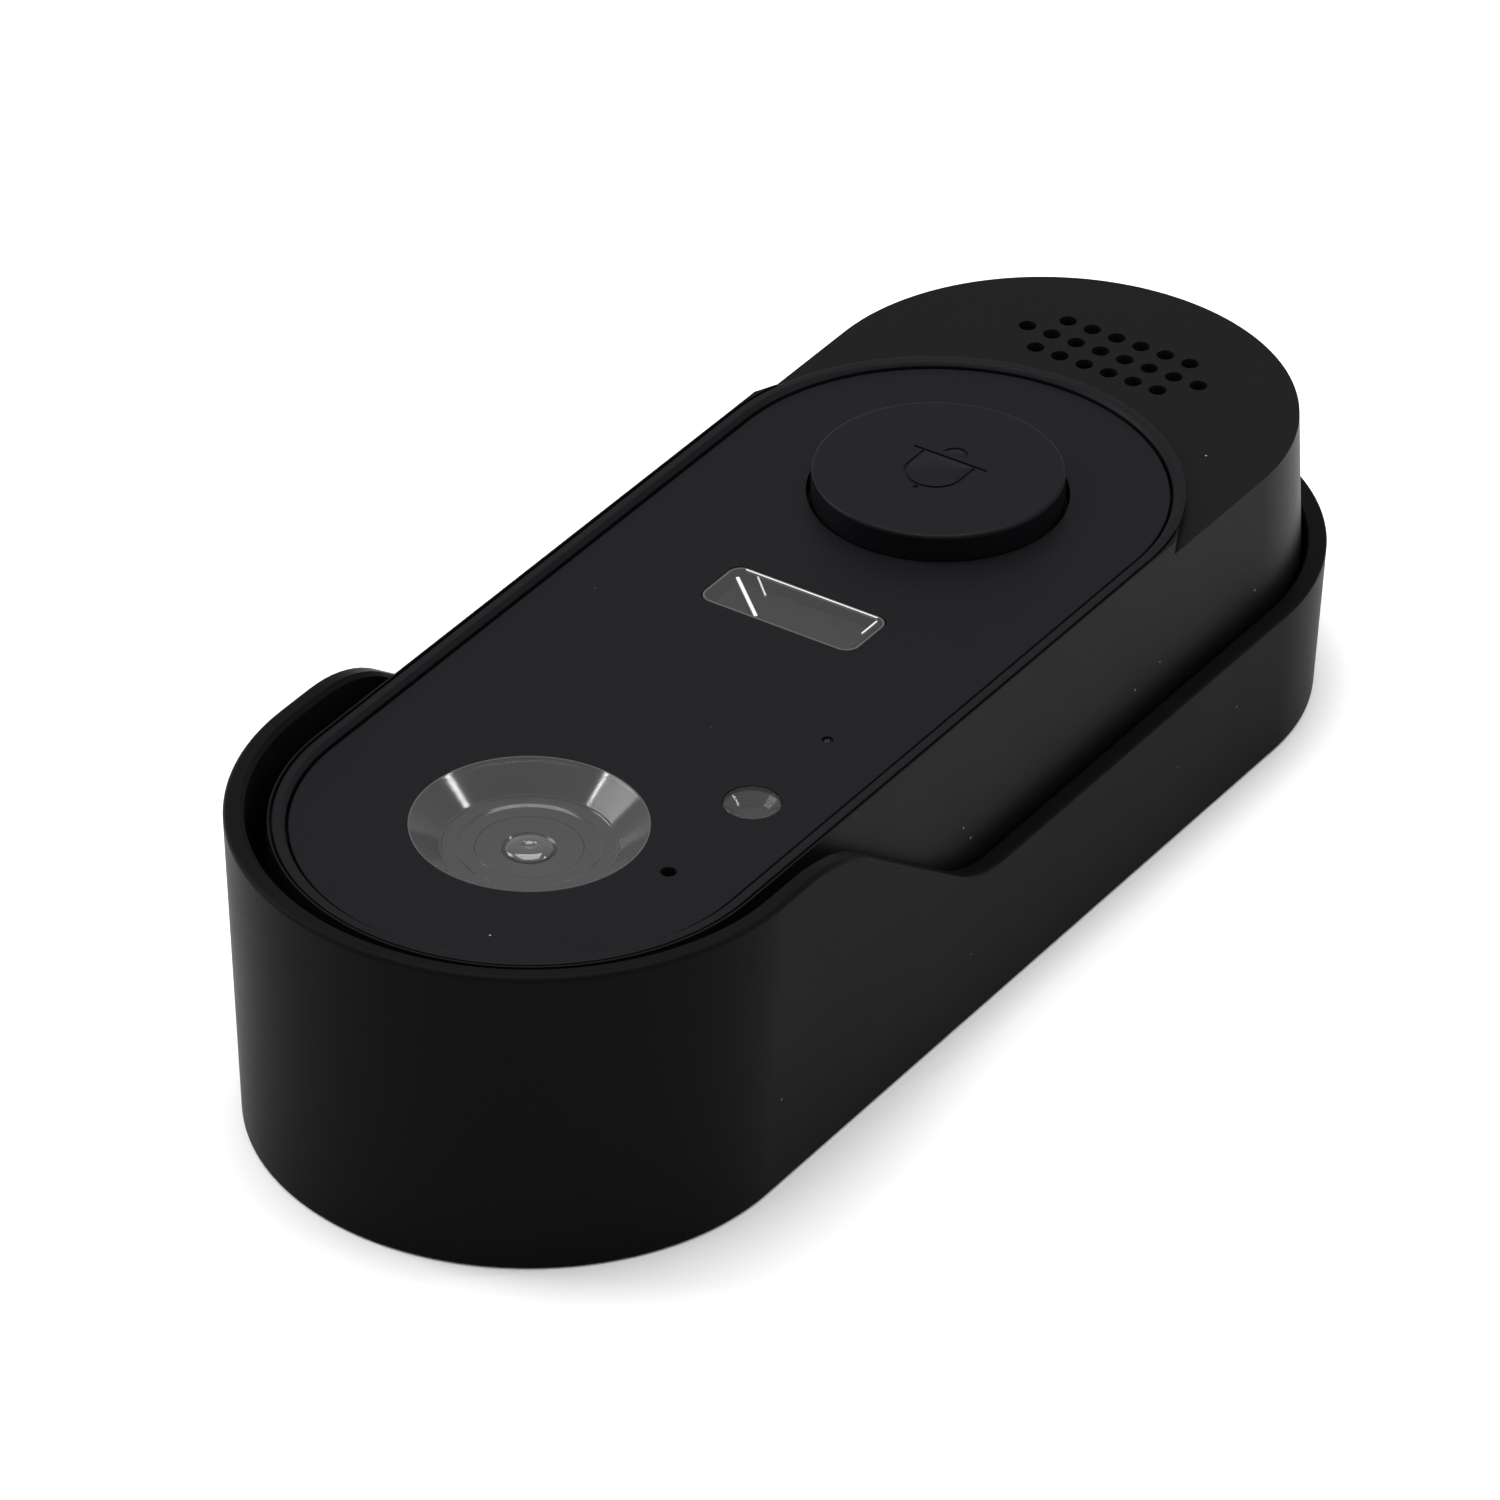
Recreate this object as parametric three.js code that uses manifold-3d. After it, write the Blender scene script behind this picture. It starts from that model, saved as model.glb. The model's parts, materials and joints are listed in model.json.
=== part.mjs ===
// Battery video doorbell: a camera and call button unit seated in a wall tray with a rain hood.
//
// Frame: the doorbell lies on its back. +Z points out of the wall, +Y points up the wall
// towards the hooded camera end, and +X points to the visitor's right. Millimetres.
// Z = 0 is the wall face of the tray. The origin is the centre of that face.
// "down" is a distance down the wall, measured from the camera's optical axis.

import * as THREE from 'three';
import { mergeVertices } from 'three/addons/utils/BufferGeometryUtils.js';
import Module from 'manifold-3d';

const wasm = await Module();
wasm.setup();

// ---------------------------------------------------------------- driving dimensions

const UNIT_PITCH = 80.85; // between the centres of the unit's two round ends
const TERRACE_L = 18.15; // how far the lower terrace reaches past the raised face
const BELT_R = 22.35; // the widest radius of the unit, just below the tray's edge
const BELT_Z = 13.4;
const LIP_TAPER = 0.77; // the unit narrows by this much on each side up to its front lip
const HEEL_TAPER = 0.45; // and by this much down to its back
const LIP_T = 0.16; // width of the thin lip round the bezel ring
const FACE_Z = 28.45; // front of the bezel ring
const TERRACE_Z = 27.3; // lower step that holds the speaker grille
const PANEL_SINK = 0.5; // the front panel lies this much below the bezel ring
const PANEL_T = 1.75;
const DECK_T = 2.2; // inner deck that carries the front panel
const SHELL_T = 1.6; // side wall at the front
const FIT = 0.25; // visible gap round the front panel
const LIP_GAP = 0.22; // shadow gap round the bezel ring
const RING_W = 1.1; // width of the bezel ring's front face
const RING_T = 0.9;

const TRAY_FLOOR = 2.0;
const TRAY_WALL = 1.75;
const TRAY_GAP = 0.45; // between the unit's belt and the tray
const TRAY_FLARE = 0.04; // outward draft of the tray wall, per millimetre of height
const TRAY_TOP = 14.4;
const HOOD_TOP = 29.8;
const HOOD_FLAT = 4.0; // how far down the hood keeps its full height
const HOOD_ROUND = 15.7; // radius of the hood's shoulder
const HOOD_SLOPE = THREE.MathUtils.degToRad(35); // fall of the hood's sides
const HOOD_FOOT = 13; // radius where the hood runs out into the low wall
const HOOD_FILLET = 0.5;
const HOOD_CHAMFER = 0.4;

const BACK_T = 2.4; // back cover
const SEAL_W = 0.8;
const SEAL_H = 0.8;

const CAMERA_R = 10.0; // round camera window
const WINDOW_T = 1.0;
const FUNNEL_DEPTH = 2.4;
const FUNNEL_FOOT_R = 7.2;
const FUNNEL_WALL = 0.6;
const LENS_R = 2.05;
const BARREL_R = 4.4;
const HOLDER_R = 6.2;
const LED_X = 7.5; // infrared lamps either side of the lens

const PIR_DOWN = 39.6; // motion window
const PIR_W = 15.6;
const PIR_L = 6.2;
const PIR_CORNER = 1.3;
const PIR_WALL = 0.8;

const SIDE_X = -13.4; // line of the small ports left of the camera
const MIC_DOWN = 0.6;
const MIC_R = 0.7;
const AMBIENT_DOWN = 13.0;
const AMBIENT_R = 2.44;
const LED_DOWN = 24.4;
const LED_R = 0.45;

const BUTTON_SHIFT = 0.4; // the button sits this much above the face's lower centre
const BUTTON_R = 11.0;
const BUTTON_RISE = 2.35; // height of the button above the front panel
const BUTTON_EDGE = 0.3;
const BUTTON_GAP = 0.4;
const BUTTON_TRAVEL = 0.6;
const FLANGE_W = 1.3; // flange that keeps the button behind the panel
const FLANGE_T = 1.0;
const STEM_R = 1.8;

const SPEAKER_PAST = 10; // speaker centre past the lower end's centre
const SPEAKER_R = 8.8;
const SPEAKER_H = 4.2;
const GRILLE_R = 0.8;
const GRILLE_PITCH_X = 2.53;
const GRILLE_PITCH_Y = 2.7;
const GRILLE_COLUMNS = 8;
const GRILLE_ROWS = 3;
const GRILLE_PLATE_T = 2.0;

const BOARD_T = 1.2;
const BOARD_Z = 16.2; // back of the main board
const BOARD_EDGE = 1.78; // between the main board and the housing wall
const BOARD_SHORT = 4.7; // the board's lower centre stops this much above the face's

const BATTERY_W = 27;
const BATTERY_L = 58;
const BATTERY_T = 9.4;
const BATTERY_TOP_DOWN = 17;

const CASE_BOSS_IN = 2.7; // boss centres stand this much inside the housing wall
const CASE_BOSS_FIRST = 10;
const CASE_BOSS_LAST = 0.85; // the last pair, above the lower end's centre
const CASE_BOSS_R = 2.6;
const SCREW_R = 0.95;
const SCREW_HEAD_R = 1.95;
const SCREW_HEAD_T = 1.3;
const SCREW_GRIP = 8.5;
const BOARD_POST_R = 2.2;
const UPPER_POST = [10, 9.6]; // beside the middle, and above the motion window
const LOWER_POST = [3, 8.8]; // inside the board's edge, and above the button

const PORT_Z = 17.9; // charging port in the lower end
const PORT_SINK = 0.45; // the cover's crown stands this much inside the belt
const PORT_W = 8.94;
const PORT_H = 3.26;
const PORT_L = 7.3;
const COVER_W = 13;
const COVER_H = 6;
const COVER_T = 1.5;

const SETUP_PAST = 11.15; // setup button past the lower end's centre
const SETUP_R = 2.6;
const SETUP_TRAVEL = 0.4;

const CLEAR = 0.3; // general clearance between neighbouring pieces
const OVER = 1; // how far a cutter runs past the face it cuts
const ROUND = 40; // facets round a large circle
const FINE = 12; // facets round a small circle

// ---------------------------------------------------------------- derived places

const LENS_Y = (UNIT_PITCH + TRAY_FLARE * (TRAY_TOP - HOOD_TOP)) / 2;
const at = (down) => LENS_Y - down;
const LIP_R = BELT_R - LIP_TAPER;
const HEEL_R = BELT_R - HEEL_TAPER;
const FACE_PITCH = UNIT_PITCH - TERRACE_L; // between the raised face's two round ends
const BUTTON_DOWN = FACE_PITCH - BUTTON_SHIFT;
const SPEAKER_DOWN = UNIT_PITCH + SPEAKER_PAST;
const SETUP_DOWN = UNIT_PITCH + SETUP_PAST;
const PANEL_Z = FACE_Z - PANEL_SINK;
const DECK_TOP = PANEL_Z - PANEL_T;
const DECK_Z = DECK_TOP - DECK_T;
const BACK_Z = TRAY_FLOOR;
const CASE_Z = BACK_Z + BACK_T; // where the housing meets the back cover
const RING_R = LIP_R - LIP_T - LIP_GAP;
const RING_INNER = RING_R - RING_W;
const PANEL_R = RING_INNER - FIT;
const LEDGE_Z = FACE_Z - RING_T;
const CAVITY_R = LIP_R - SHELL_T;
const CASE_BOSS_X = CAVITY_R - CASE_BOSS_IN;
const BOARD_R = CAVITY_R - BOARD_EDGE;
const BOARD_END = FACE_PITCH - BOARD_SHORT;
const BATTERY_DOWN = BATTERY_TOP_DOWN + BATTERY_L / 2;
const TRAY_INNER = (z) => BELT_R + TRAY_GAP + TRAY_FLARE * (z - BELT_Z);
const TRAY_OUTER = (z) => TRAY_INNER(z) + TRAY_WALL;
const BOARD_TOP = BOARD_Z + BOARD_T;
const BUTTON_TOP = PANEL_Z + BUTTON_RISE;
const FLANGE_TOP = DECK_TOP - 0.2;
const FLANGE_Z = FLANGE_TOP - FLANGE_T;
const POCKET_R = BUTTON_R + FLANGE_W + CLEAR;
const RETURN_PAD_T = 0.7;
const POCKET_Z = FLANGE_Z - BUTTON_TRAVEL - RETURN_PAD_T - 0.1;
const SWITCH_H = 3.4;
const PLUNGER_RISE = 1.0;
const PLUNGER_TOP = BOARD_TOP + SWITCH_H + PLUNGER_RISE;
const FUNNEL_TOP = PANEL_Z - WINDOW_T;
const FUNNEL_FLOOR = FUNNEL_TOP - FUNNEL_DEPTH;
const SPEAKER_CEILING = TERRACE_Z - GRILLE_PLATE_T;

// ---------------------------------------------------------------- finishes

const finish = (color, roughness, metalness = 0) =>
  new THREE.MeshStandardMaterial({ color, roughness, metalness });

const BLACK_PLASTIC = () => finish(0x1e1d1c, 0.55);
const FACE_PLASTIC = () => finish(0x242528, 0.5);
const BUTTON_PLASTIC = () => finish(0x232427, 0.45);
const SMOKED_WINDOW = () => finish(0x46474a, 0.1);
const FUNNEL_GREY = () => finish(0x55565a, 0.35);
const LENS_GLASS = () => finish(0x101418, 0.05);
const MILKY_WINDOW = () => finish(0xb9bbbd, 0.3);
const RUBBER = () => finish(0x151515, 0.85);
const BOARD_GREEN = () => finish(0x1d4a32, 0.5);
const STEEL = () => finish(0xb8bbc0, 0.3, 1);
const FOIL = () => finish(0x9aa0a8, 0.4, 0.6);
const CHIP_BLACK = () => finish(0x111214, 0.6);
const MESH_CLOTH = () => finish(0x0c0c0c, 0.95);
const LIGHT_PIPE = () => finish(0xe6e8ea, 0.2);

// ---------------------------------------------------------------- shape helpers

// A three.js geometry as a solid, turned the right way out.
function solid(geometry) {
  const bare = geometry.clone();
  Object.keys(bare.attributes)
    .filter((name) => name !== 'position')
    .forEach((name) => bare.deleteAttribute(name));
  const merged = mergeVertices(bare, 1e-4);
  const vertProperties = new Float32Array(merged.attributes.position.array);
  const corners = Array.from(merged.index.array);
  const make = (flipped) => {
    const tris = [];
    for (let i = 0; i < corners.length; i += 3) {
      const [a, b, c] = corners.slice(i, i + 3);
      if (a !== b && b !== c && c !== a) tris.push(...(flipped ? [a, c, b] : [a, b, c]));
    }
    const triVerts = new Uint32Array(tris);
    return new wasm.Manifold(new wasm.Mesh({ numProp: 3, vertProperties, triVerts }));
  };
  const body = make(false);
  return body.volume() < 0 ? make(true) : body;
}

const cut = (body, ...tools) => tools.reduce((left, tool) => left.subtract(tool), body);
const join = (body, ...others) => others.reduce((sum, other) => sum.add(other), body);

// A profile of [radius, z] pairs turned round a vertical axis, starting and ending on it
// or closing on itself. The facets are as wide apart across the flats as the radii say.
function turnedGeometry(profile, facets) {
  const step = (2 * Math.PI) / facets;
  const wide = 1 / Math.cos(step / 2);
  const points = profile.map(([r, z]) => new THREE.Vector2(r * wide, z));
  return new THREE.LatheGeometry(points, facets, step / 2).rotateX(Math.PI / 2);
}

function turned(profile, x, down, facets = FINE) {
  return solid(turnedGeometry(profile, facets).translate(x, at(down), 0));
}

function disc(radius, low, high, x, down, facets = FINE) {
  return turned([[0, low], [radius, low], [radius, high], [0, high]], x, down, facets);
}

function ring(inner, outer, low, high, x, down, facets = FINE) {
  const profile = [[inner, low], [outer, low], [outer, high], [inner, high], [inner, low]];
  return turned(profile, x, down, facets);
}

// The same profile carried round a stadium: two half turns joined by straight sides.
function stadium(profile, fromDown, toDown, facets = ROUND) {
  const geometry = turnedGeometry(profile, facets);
  const places = geometry.attributes.position;
  for (let i = 0; i < places.count; i += 1) {
    const y = places.getY(i);
    const middle = (at(fromDown) + at(toDown)) / 2;
    const end = y > 0 ? at(fromDown) : at(toDown);
    places.setY(i, Math.abs(y) < 1e-4 ? middle : y + end);
  }
  return solid(geometry);
}

const plateProfile = (radius, low, high) => [[0, low], [radius, low], [radius, high], [0, high]];

function roundedRectangle(width, length, corner) {
  const [w, l] = [width / 2, length / 2];
  const shape = new THREE.Shape();
  shape.moveTo(-w + corner, -l);
  shape.absarc(w - corner, -l + corner, corner, -Math.PI / 2, 0);
  shape.absarc(w - corner, l - corner, corner, 0, Math.PI / 2);
  shape.absarc(-w + corner, l - corner, corner, Math.PI / 2, Math.PI);
  shape.absarc(-w + corner, -l + corner, corner, Math.PI, 1.5 * Math.PI);
  return shape;
}

const extrude = (shape, depth, curveSegments = 2) =>
  new THREE.ExtrudeGeometry(shape, { depth, bevelEnabled: false, curveSegments });

// A rounded slab that lies flat, between two heights.
function slab(width, length, corner, low, high, x, down) {
  const geometry = extrude(roundedRectangle(width, length, corner), high - low);
  return solid(geometry.translate(x, at(down), low));
}

// A plain bar that lies flat.
function bar(width, length, low, high, x, down) {
  const geometry = new THREE.BoxGeometry(width, length, high - low);
  return solid(geometry.translate(x, at(down), (low + high) / 2));
}

// A rounded slab that stands facing down the wall, between two stations.
function upright(width, height, corner, fromDown, toDown, x, z) {
  const geometry = extrude(roundedRectangle(width, height, corner), toDown - fromDown);
  return solid(geometry.rotateX(Math.PI / 2).translate(x, at(fromDown), z));
}

function piece(name, body, material) {
  const { vertProperties, triVerts } = body.getMesh();
  const geometry = new THREE.BufferGeometry();
  geometry.setAttribute('position', new THREE.BufferAttribute(vertProperties, 3));
  geometry.setIndex(new THREE.BufferAttribute(triVerts, 1));
  geometry.computeVertexNormals();
  const mesh = new THREE.Mesh(geometry, material);
  mesh.name = name;
  return mesh;
}

// ---------------------------------------------------------------- wall tray

// Side view of the space above the hood's falling edge, cut straight across the tray.
function aboveHood() {
  const drop = HOOD_TOP - TRAY_TOP;
  const turn = 1 - Math.cos(HOOD_SLOPE);
  const slopeFall = drop - (HOOD_ROUND + HOOD_FOOT) * turn;
  const slopeRun = slopeFall / Math.tan(HOOD_SLOPE);
  const reach = (HOOD_ROUND + HOOD_FOOT) * Math.sin(HOOD_SLOPE) + slopeRun;
  const footDown = HOOD_FLAT + reach;
  const past = UNIT_PITCH + 2 * BELT_R;
  const shape = new THREE.Shape();
  const shoulder = Math.PI / 2;
  shape.moveTo(HOOD_FLAT, HOOD_TOP + OVER);
  shape.lineTo(HOOD_FLAT, HOOD_TOP);
  shape.absarc(HOOD_FLAT, HOOD_TOP - HOOD_ROUND, HOOD_ROUND, shoulder, shoulder - HOOD_SLOPE, true);
  shape.absarc(footDown, TRAY_TOP + HOOD_FOOT, HOOD_FOOT, -shoulder - HOOD_SLOPE, -shoulder);
  shape.lineTo(past, TRAY_TOP);
  shape.lineTo(past, HOOD_TOP + OVER);
  const width = 2 * TRAY_OUTER(HOOD_TOP) + 2 * OVER;
  const toFrame = new THREE.Matrix4().makeBasis(
    new THREE.Vector3(0, -1, 0),
    new THREE.Vector3(0, 0, 1),
    new THREE.Vector3(-1, 0, 0),
  );
  return solid(extrude(shape, width, 10).applyMatrix4(toFrame).translate(width / 2, LENS_Y, 0));
}

function mountBracket() {
  const topR = TRAY_OUTER(HOOD_TOP);
  const fillet = [0, 1, 2].map((i) => {
    const angle = (i * Math.PI) / 4;
    const r = topR - HOOD_FILLET + HOOD_FILLET * Math.cos(angle);
    return [r, HOOD_TOP - HOOD_FILLET + HOOD_FILLET * Math.sin(angle)];
  });
  const profile = [
    [0, 0],
    [TRAY_OUTER(0), 0],
    ...fillet,
    [TRAY_INNER(HOOD_TOP) + HOOD_CHAMFER, HOOD_TOP],
    [TRAY_INNER(HOOD_TOP - HOOD_CHAMFER), HOOD_TOP - HOOD_CHAMFER],
    [TRAY_INNER(TRAY_FLOOR), TRAY_FLOOR],
    [0, TRAY_FLOOR],
  ];
  const tray = stadium(profile, 0, UNIT_PITCH);
  const screwSlots = [0.06, 0.94].map((share) =>
    slab(4.6, 9, 2.25, -OVER, TRAY_FLOOR + OVER, 0, share * UNIT_PITCH));
  const screwSeats = [0.06, 0.94].map((share) =>
    slab(9.4, 13.8, 4.65, TRAY_FLOOR / 2, TRAY_FLOOR + OVER, 0, share * UNIT_PITCH));
  const wireWay = slab(22, 16, 3, -OVER, TRAY_FLOOR + OVER, 0, UNIT_PITCH / 2);
  return cut(tray, aboveHood(), ...screwSlots, ...screwSeats, wireWay);
}

// ---------------------------------------------------------------- housing

// Three pairs of screw bosses along the side walls.
function caseBosses() {
  const last = UNIT_PITCH - CASE_BOSS_LAST;
  const downs = [CASE_BOSS_FIRST, (CASE_BOSS_FIRST + last) / 2, last];
  return downs.flatMap((down) => [[CASE_BOSS_X, down], [-CASE_BOSS_X, down]]);
}

// Two pairs of posts that hang the main board from the deck.
function boardPosts() {
  const upper = [UPPER_POST[0], PIR_DOWN - UPPER_POST[1]];
  const lower = [BOARD_R - LOWER_POST[0], BUTTON_DOWN - LOWER_POST[1]];
  return [upper, lower].flatMap(([x, down]) => [[x, down], [-x, down]]);
}

// The step down to the speaker terrace: the raised face ends in a round end whose two
// tangents run out to the sides.
function terraceCut() {
  const lead = THREE.MathUtils.degToRad(23.5);
  const far = at(FACE_PITCH);
  const [cos, sin] = [RING_R * Math.cos(lead), RING_R * Math.sin(lead)];
  const out = LIP_R + 2 * OVER;
  const run = ((out - cos) * Math.cos(lead)) / Math.sin(lead);
  const beyond = at(UNIT_PITCH) - BELT_R - OVER;
  const shape = new THREE.Shape();
  shape.moveTo(out, beyond);
  shape.lineTo(out, far - sin + run);
  shape.absarc(0, far, RING_R, -lead, -Math.PI + lead, true);
  shape.lineTo(-out, far - sin + run);
  shape.lineTo(-out, beyond);
  const height = FACE_Z - TERRACE_Z + OVER;
  return solid(extrude(shape, height, 28).translate(0, 0, TERRACE_Z));
}

function grilleHoles() {
  const holes = [];
  for (let row = 0; row < GRILLE_ROWS; row += 1) {
    for (let column = 0; column < GRILLE_COLUMNS; column += 1) {
      const corner = row !== 1 && (column === 0 || column === GRILLE_COLUMNS - 1);
      const x = (column - (GRILLE_COLUMNS - 1) / 2) * GRILLE_PITCH_X;
      const down = SPEAKER_DOWN + (row - (GRILLE_ROWS - 1) / 2) * GRILLE_PITCH_Y;
      if (!corner) holes.push(disc(GRILLE_R, SPEAKER_CEILING - OVER, TERRACE_Z + OVER, x, down, 10));
    }
  }
  return holes;
}

// Where the charging port's rubber cover sits in the curved lower end.
const PORT_FLOOR_DOWN = UNIT_PITCH + BELT_R - COVER_T - PORT_SINK;
const outerProfile = (shrink = 0) => [
  [0, CASE_Z],
  [HEEL_R - shrink, CASE_Z],
  [BELT_R - shrink, BELT_Z],
  [LIP_R - shrink, FACE_Z],
  [0, FACE_Z],
];

function sideHousing() {
  const deepest = Math.min(POCKET_Z, DECK_Z);
  const outer = stadium(outerProfile(), 0, UNIT_PITCH);
  const cavity = stadium(plateProfile(CAVITY_R, CASE_Z - OVER, DECK_Z), 0, UNIT_PITCH);
  const ringSeat = stadium(plateProfile(RING_R + LIP_GAP, LEDGE_Z, FACE_Z + OVER), 0, FACE_PITCH);
  const panelSeat = stadium(plateProfile(RING_INNER + FIT, DECK_TOP, FACE_Z), 0, FACE_PITCH);
  const shell = cut(outer, cavity, terraceCut(), ringSeat, panelSeat);
  const bosses = caseBosses().map(([x, down]) =>
    disc(CASE_BOSS_R, CASE_Z, DECK_Z + OVER, x, down));
  const posts = boardPosts().map(([x, down]) =>
    disc(BOARD_POST_R, BOARD_TOP, DECK_Z + OVER, x, down));
  const buttonWell = disc(POCKET_R + SHELL_T, POCKET_Z - SHELL_T, DECK_Z + OVER, 0, BUTTON_DOWN, ROUND);
  const portFrame = upright(COVER_W + 4, COVER_H + 1.4, 1, PORT_FLOOR_DOWN - 3.4,
    PORT_FLOOR_DOWN + 0.4, 0, PORT_Z);
  const solidParts = join(shell, ...bosses, ...posts, buttonWell, portFrame);
  const deckTop = DECK_TOP + OVER;
  const openings = [
    disc(CAMERA_R + FUNNEL_WALL + CLEAR, deepest - OVER, deckTop, 0, 0, ROUND),
    slab(PIR_W + 4 * CLEAR, PIR_L + 4 * CLEAR, PIR_CORNER, deepest - OVER, deckTop, 0, PIR_DOWN),
    disc(AMBIENT_R + CLEAR, deepest - OVER, deckTop, SIDE_X, AMBIENT_DOWN),
    disc(LED_R + CLEAR, deepest - OVER, deckTop, SIDE_X, LED_DOWN),
    disc(MIC_R + 1.1, deepest - OVER, deckTop, SIDE_X, MIC_DOWN),
    disc(POCKET_R, POCKET_Z, deckTop, 0, BUTTON_DOWN, ROUND),
    disc(STEM_R + CLEAR, POCKET_Z - SHELL_T - OVER, deckTop, 0, BUTTON_DOWN),
    disc(SPEAKER_R + 2 * CLEAR, DECK_Z - OVER, SPEAKER_CEILING, 0, SPEAKER_DOWN, ROUND),
    upright(COVER_W + 2 * CLEAR, COVER_H + 2 * CLEAR, 1.5, PORT_FLOOR_DOWN,
      PORT_FLOOR_DOWN + COVER_T + 2 * OVER, 0, PORT_Z),
    upright(PORT_W + CLEAR, PORT_H + CLEAR, 1.2, PORT_FLOOR_DOWN - 3.4 - OVER,
      PORT_FLOOR_DOWN + OVER, 0, PORT_Z),
  ];
  const screwHoles = caseBosses().map(([x, down]) =>
    disc(SCREW_R + 0.15, CASE_Z - OVER, CASE_Z + SCREW_GRIP, x, down));
  const postHoles = boardPosts().map(([x, down]) =>
    disc(SCREW_R + 0.15, BOARD_TOP - OVER, BOARD_TOP + 4, x, down));
  return cut(solidParts, ...openings, ...grilleHoles(), ...screwHoles, ...postHoles);
}

function bezelRing() {
  const profile = [
    [RING_INNER, LEDGE_Z],
    [RING_R, LEDGE_Z],
    [RING_R, FACE_Z - 0.12],
    [RING_R - 0.12, FACE_Z],
    [RING_INNER, FACE_Z],
    [RING_INNER, LEDGE_Z],
  ];
  return stadium(profile, 0, FACE_PITCH);
}

function frontPanel() {
  const plate = stadium(plateProfile(PANEL_R, DECK_TOP, PANEL_Z), 0, FACE_PITCH);
  const low = DECK_TOP - OVER;
  const high = PANEL_Z + OVER;
  return cut(
    plate,
    disc(CAMERA_R + 0.1, low, high, 0, 0, ROUND),
    slab(PIR_W + CLEAR, PIR_L + CLEAR, PIR_CORNER, low, high, 0, PIR_DOWN),
    disc(AMBIENT_R + 0.12, low, high, SIDE_X, AMBIENT_DOWN),
    disc(LED_R + 0.12, low, high, SIDE_X, LED_DOWN),
    disc(MIC_R, low, high, SIDE_X, MIC_DOWN),
    disc(BUTTON_R + BUTTON_GAP, low, high, 0, BUTTON_DOWN, ROUND),
  );
}

function backCover() {
  const plate = stadium(plateProfile(HEEL_R, BACK_Z, CASE_Z), 0, UNIT_PITCH);
  const groove = stadium(sealProfile(0.05), 0, UNIT_PITCH);
  const heads = caseBosses().map(([x, down]) =>
    disc(SCREW_HEAD_R + 0.25, BACK_Z - OVER, BACK_Z + SCREW_HEAD_T + 0.1, x, down));
  const shanks = caseBosses().map(([x, down]) =>
    disc(SCREW_R + 0.2, BACK_Z, CASE_Z + OVER, x, down));
  const setup = disc(SETUP_R + 0.2, BACK_Z - OVER, CASE_Z + OVER, 0, SETUP_DOWN);
  return cut(plate, groove, ...heads, ...shanks, setup);
}

function sealProfile(slack) {
  const middle = (CAVITY_R + HEEL_R) / 2;
  const [inner, outer] = [middle - SEAL_W / 2 - slack, middle + SEAL_W / 2 + slack];
  const [low, high] = [CASE_Z - SEAL_H - slack, CASE_Z + (slack > 0 ? OVER : 0)];
  return [[inner, low], [outer, low], [outer, high], [inner, high], [inner, low]];
}

const housingSeal = () => stadium(sealProfile(0), 0, UNIT_PITCH);

// ---------------------------------------------------------------- camera

const cameraWindow = () =>
  turned([
    [0, FUNNEL_TOP],
    [CAMERA_R, FUNNEL_TOP],
    [CAMERA_R, PANEL_Z - 0.15],
    [CAMERA_R - 0.15, PANEL_Z],
    [0, PANEL_Z],
  ], 0, 0, ROUND);

function cameraFunnel() {
  const rim = CAMERA_R + FUNNEL_WALL;
  const top = Math.min(FUNNEL_TOP, DECK_TOP);
  const lip = CAMERA_R - 0.6;
  const neck = BARREL_R + 0.15;
  return turned([
    [lip, top],
    [FUNNEL_FOOT_R, FUNNEL_FLOOR],
    [neck + 1.2, FUNNEL_FLOOR - 0.25],
    [neck, FUNNEL_FLOOR - 0.25],
    [neck, FUNNEL_FLOOR - 2.4],
    [neck + 1, FUNNEL_FLOOR - 2.4],
    [neck + 1, FUNNEL_FLOOR - 1],
    [FUNNEL_FOOT_R + FUNNEL_WALL, FUNNEL_FLOOR - 1],
    [rim, top - 1],
    [rim, top],
    [lip, top],
  ], 0, 0, ROUND);
}

const LENS_SEAT = FUNNEL_FLOOR - 0.9;

const lensBarrel = () => {
  const foot = CAMERA_BOARD_Z + BOARD_T;
  return turned([
    [0, foot],
    [HOLDER_R, foot],
    [HOLDER_R, FUNNEL_FLOOR - 4],
    [BARREL_R, FUNNEL_FLOOR - 4],
    [BARREL_R, FUNNEL_FLOOR - 0.4],
    [BARREL_R - 0.4, FUNNEL_FLOOR - 0.4],
    [LENS_R + 0.15, LENS_SEAT],
    [0, LENS_SEAT],
  ], 0, 0, ROUND);
};

const CAMERA_BOARD_Z = 9.6;

function lensElement() {
  const rise = 0.9;
  const profile = [[0, LENS_SEAT], [LENS_R, LENS_SEAT]];
  for (let i = 1; i < 5; i += 1) {
    const angle = (i * Math.PI) / 10;
    profile.push([LENS_R * Math.cos(angle), LENS_SEAT + rise * Math.sin(angle)]);
  }
  profile.push([0, LENS_SEAT + rise]);
  return turned(profile, 0, 0, 32);
}

const cameraBoard = () =>
  slab(20, 20, 1.5, CAMERA_BOARD_Z, CAMERA_BOARD_Z + BOARD_T, 0, 0);

const imageSensor = () =>
  slab(8, 7, 0.4, CAMERA_BOARD_Z - 1.1, CAMERA_BOARD_Z, 0, 0);

const LED_BOARD_TOP = FUNNEL_FLOOR - 2.5;

const ledBoard = () =>
  ring(BARREL_R + 1.5, CAMERA_R - 0.4, LED_BOARD_TOP - 1, LED_BOARD_TOP, 0, 0, ROUND);

const infraredLed = (x) =>
  slab(2.6, 2.6, 0.3, LED_BOARD_TOP, LED_BOARD_TOP + 1.3, x, 0);

// ---------------------------------------------------------------- face ports

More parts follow.
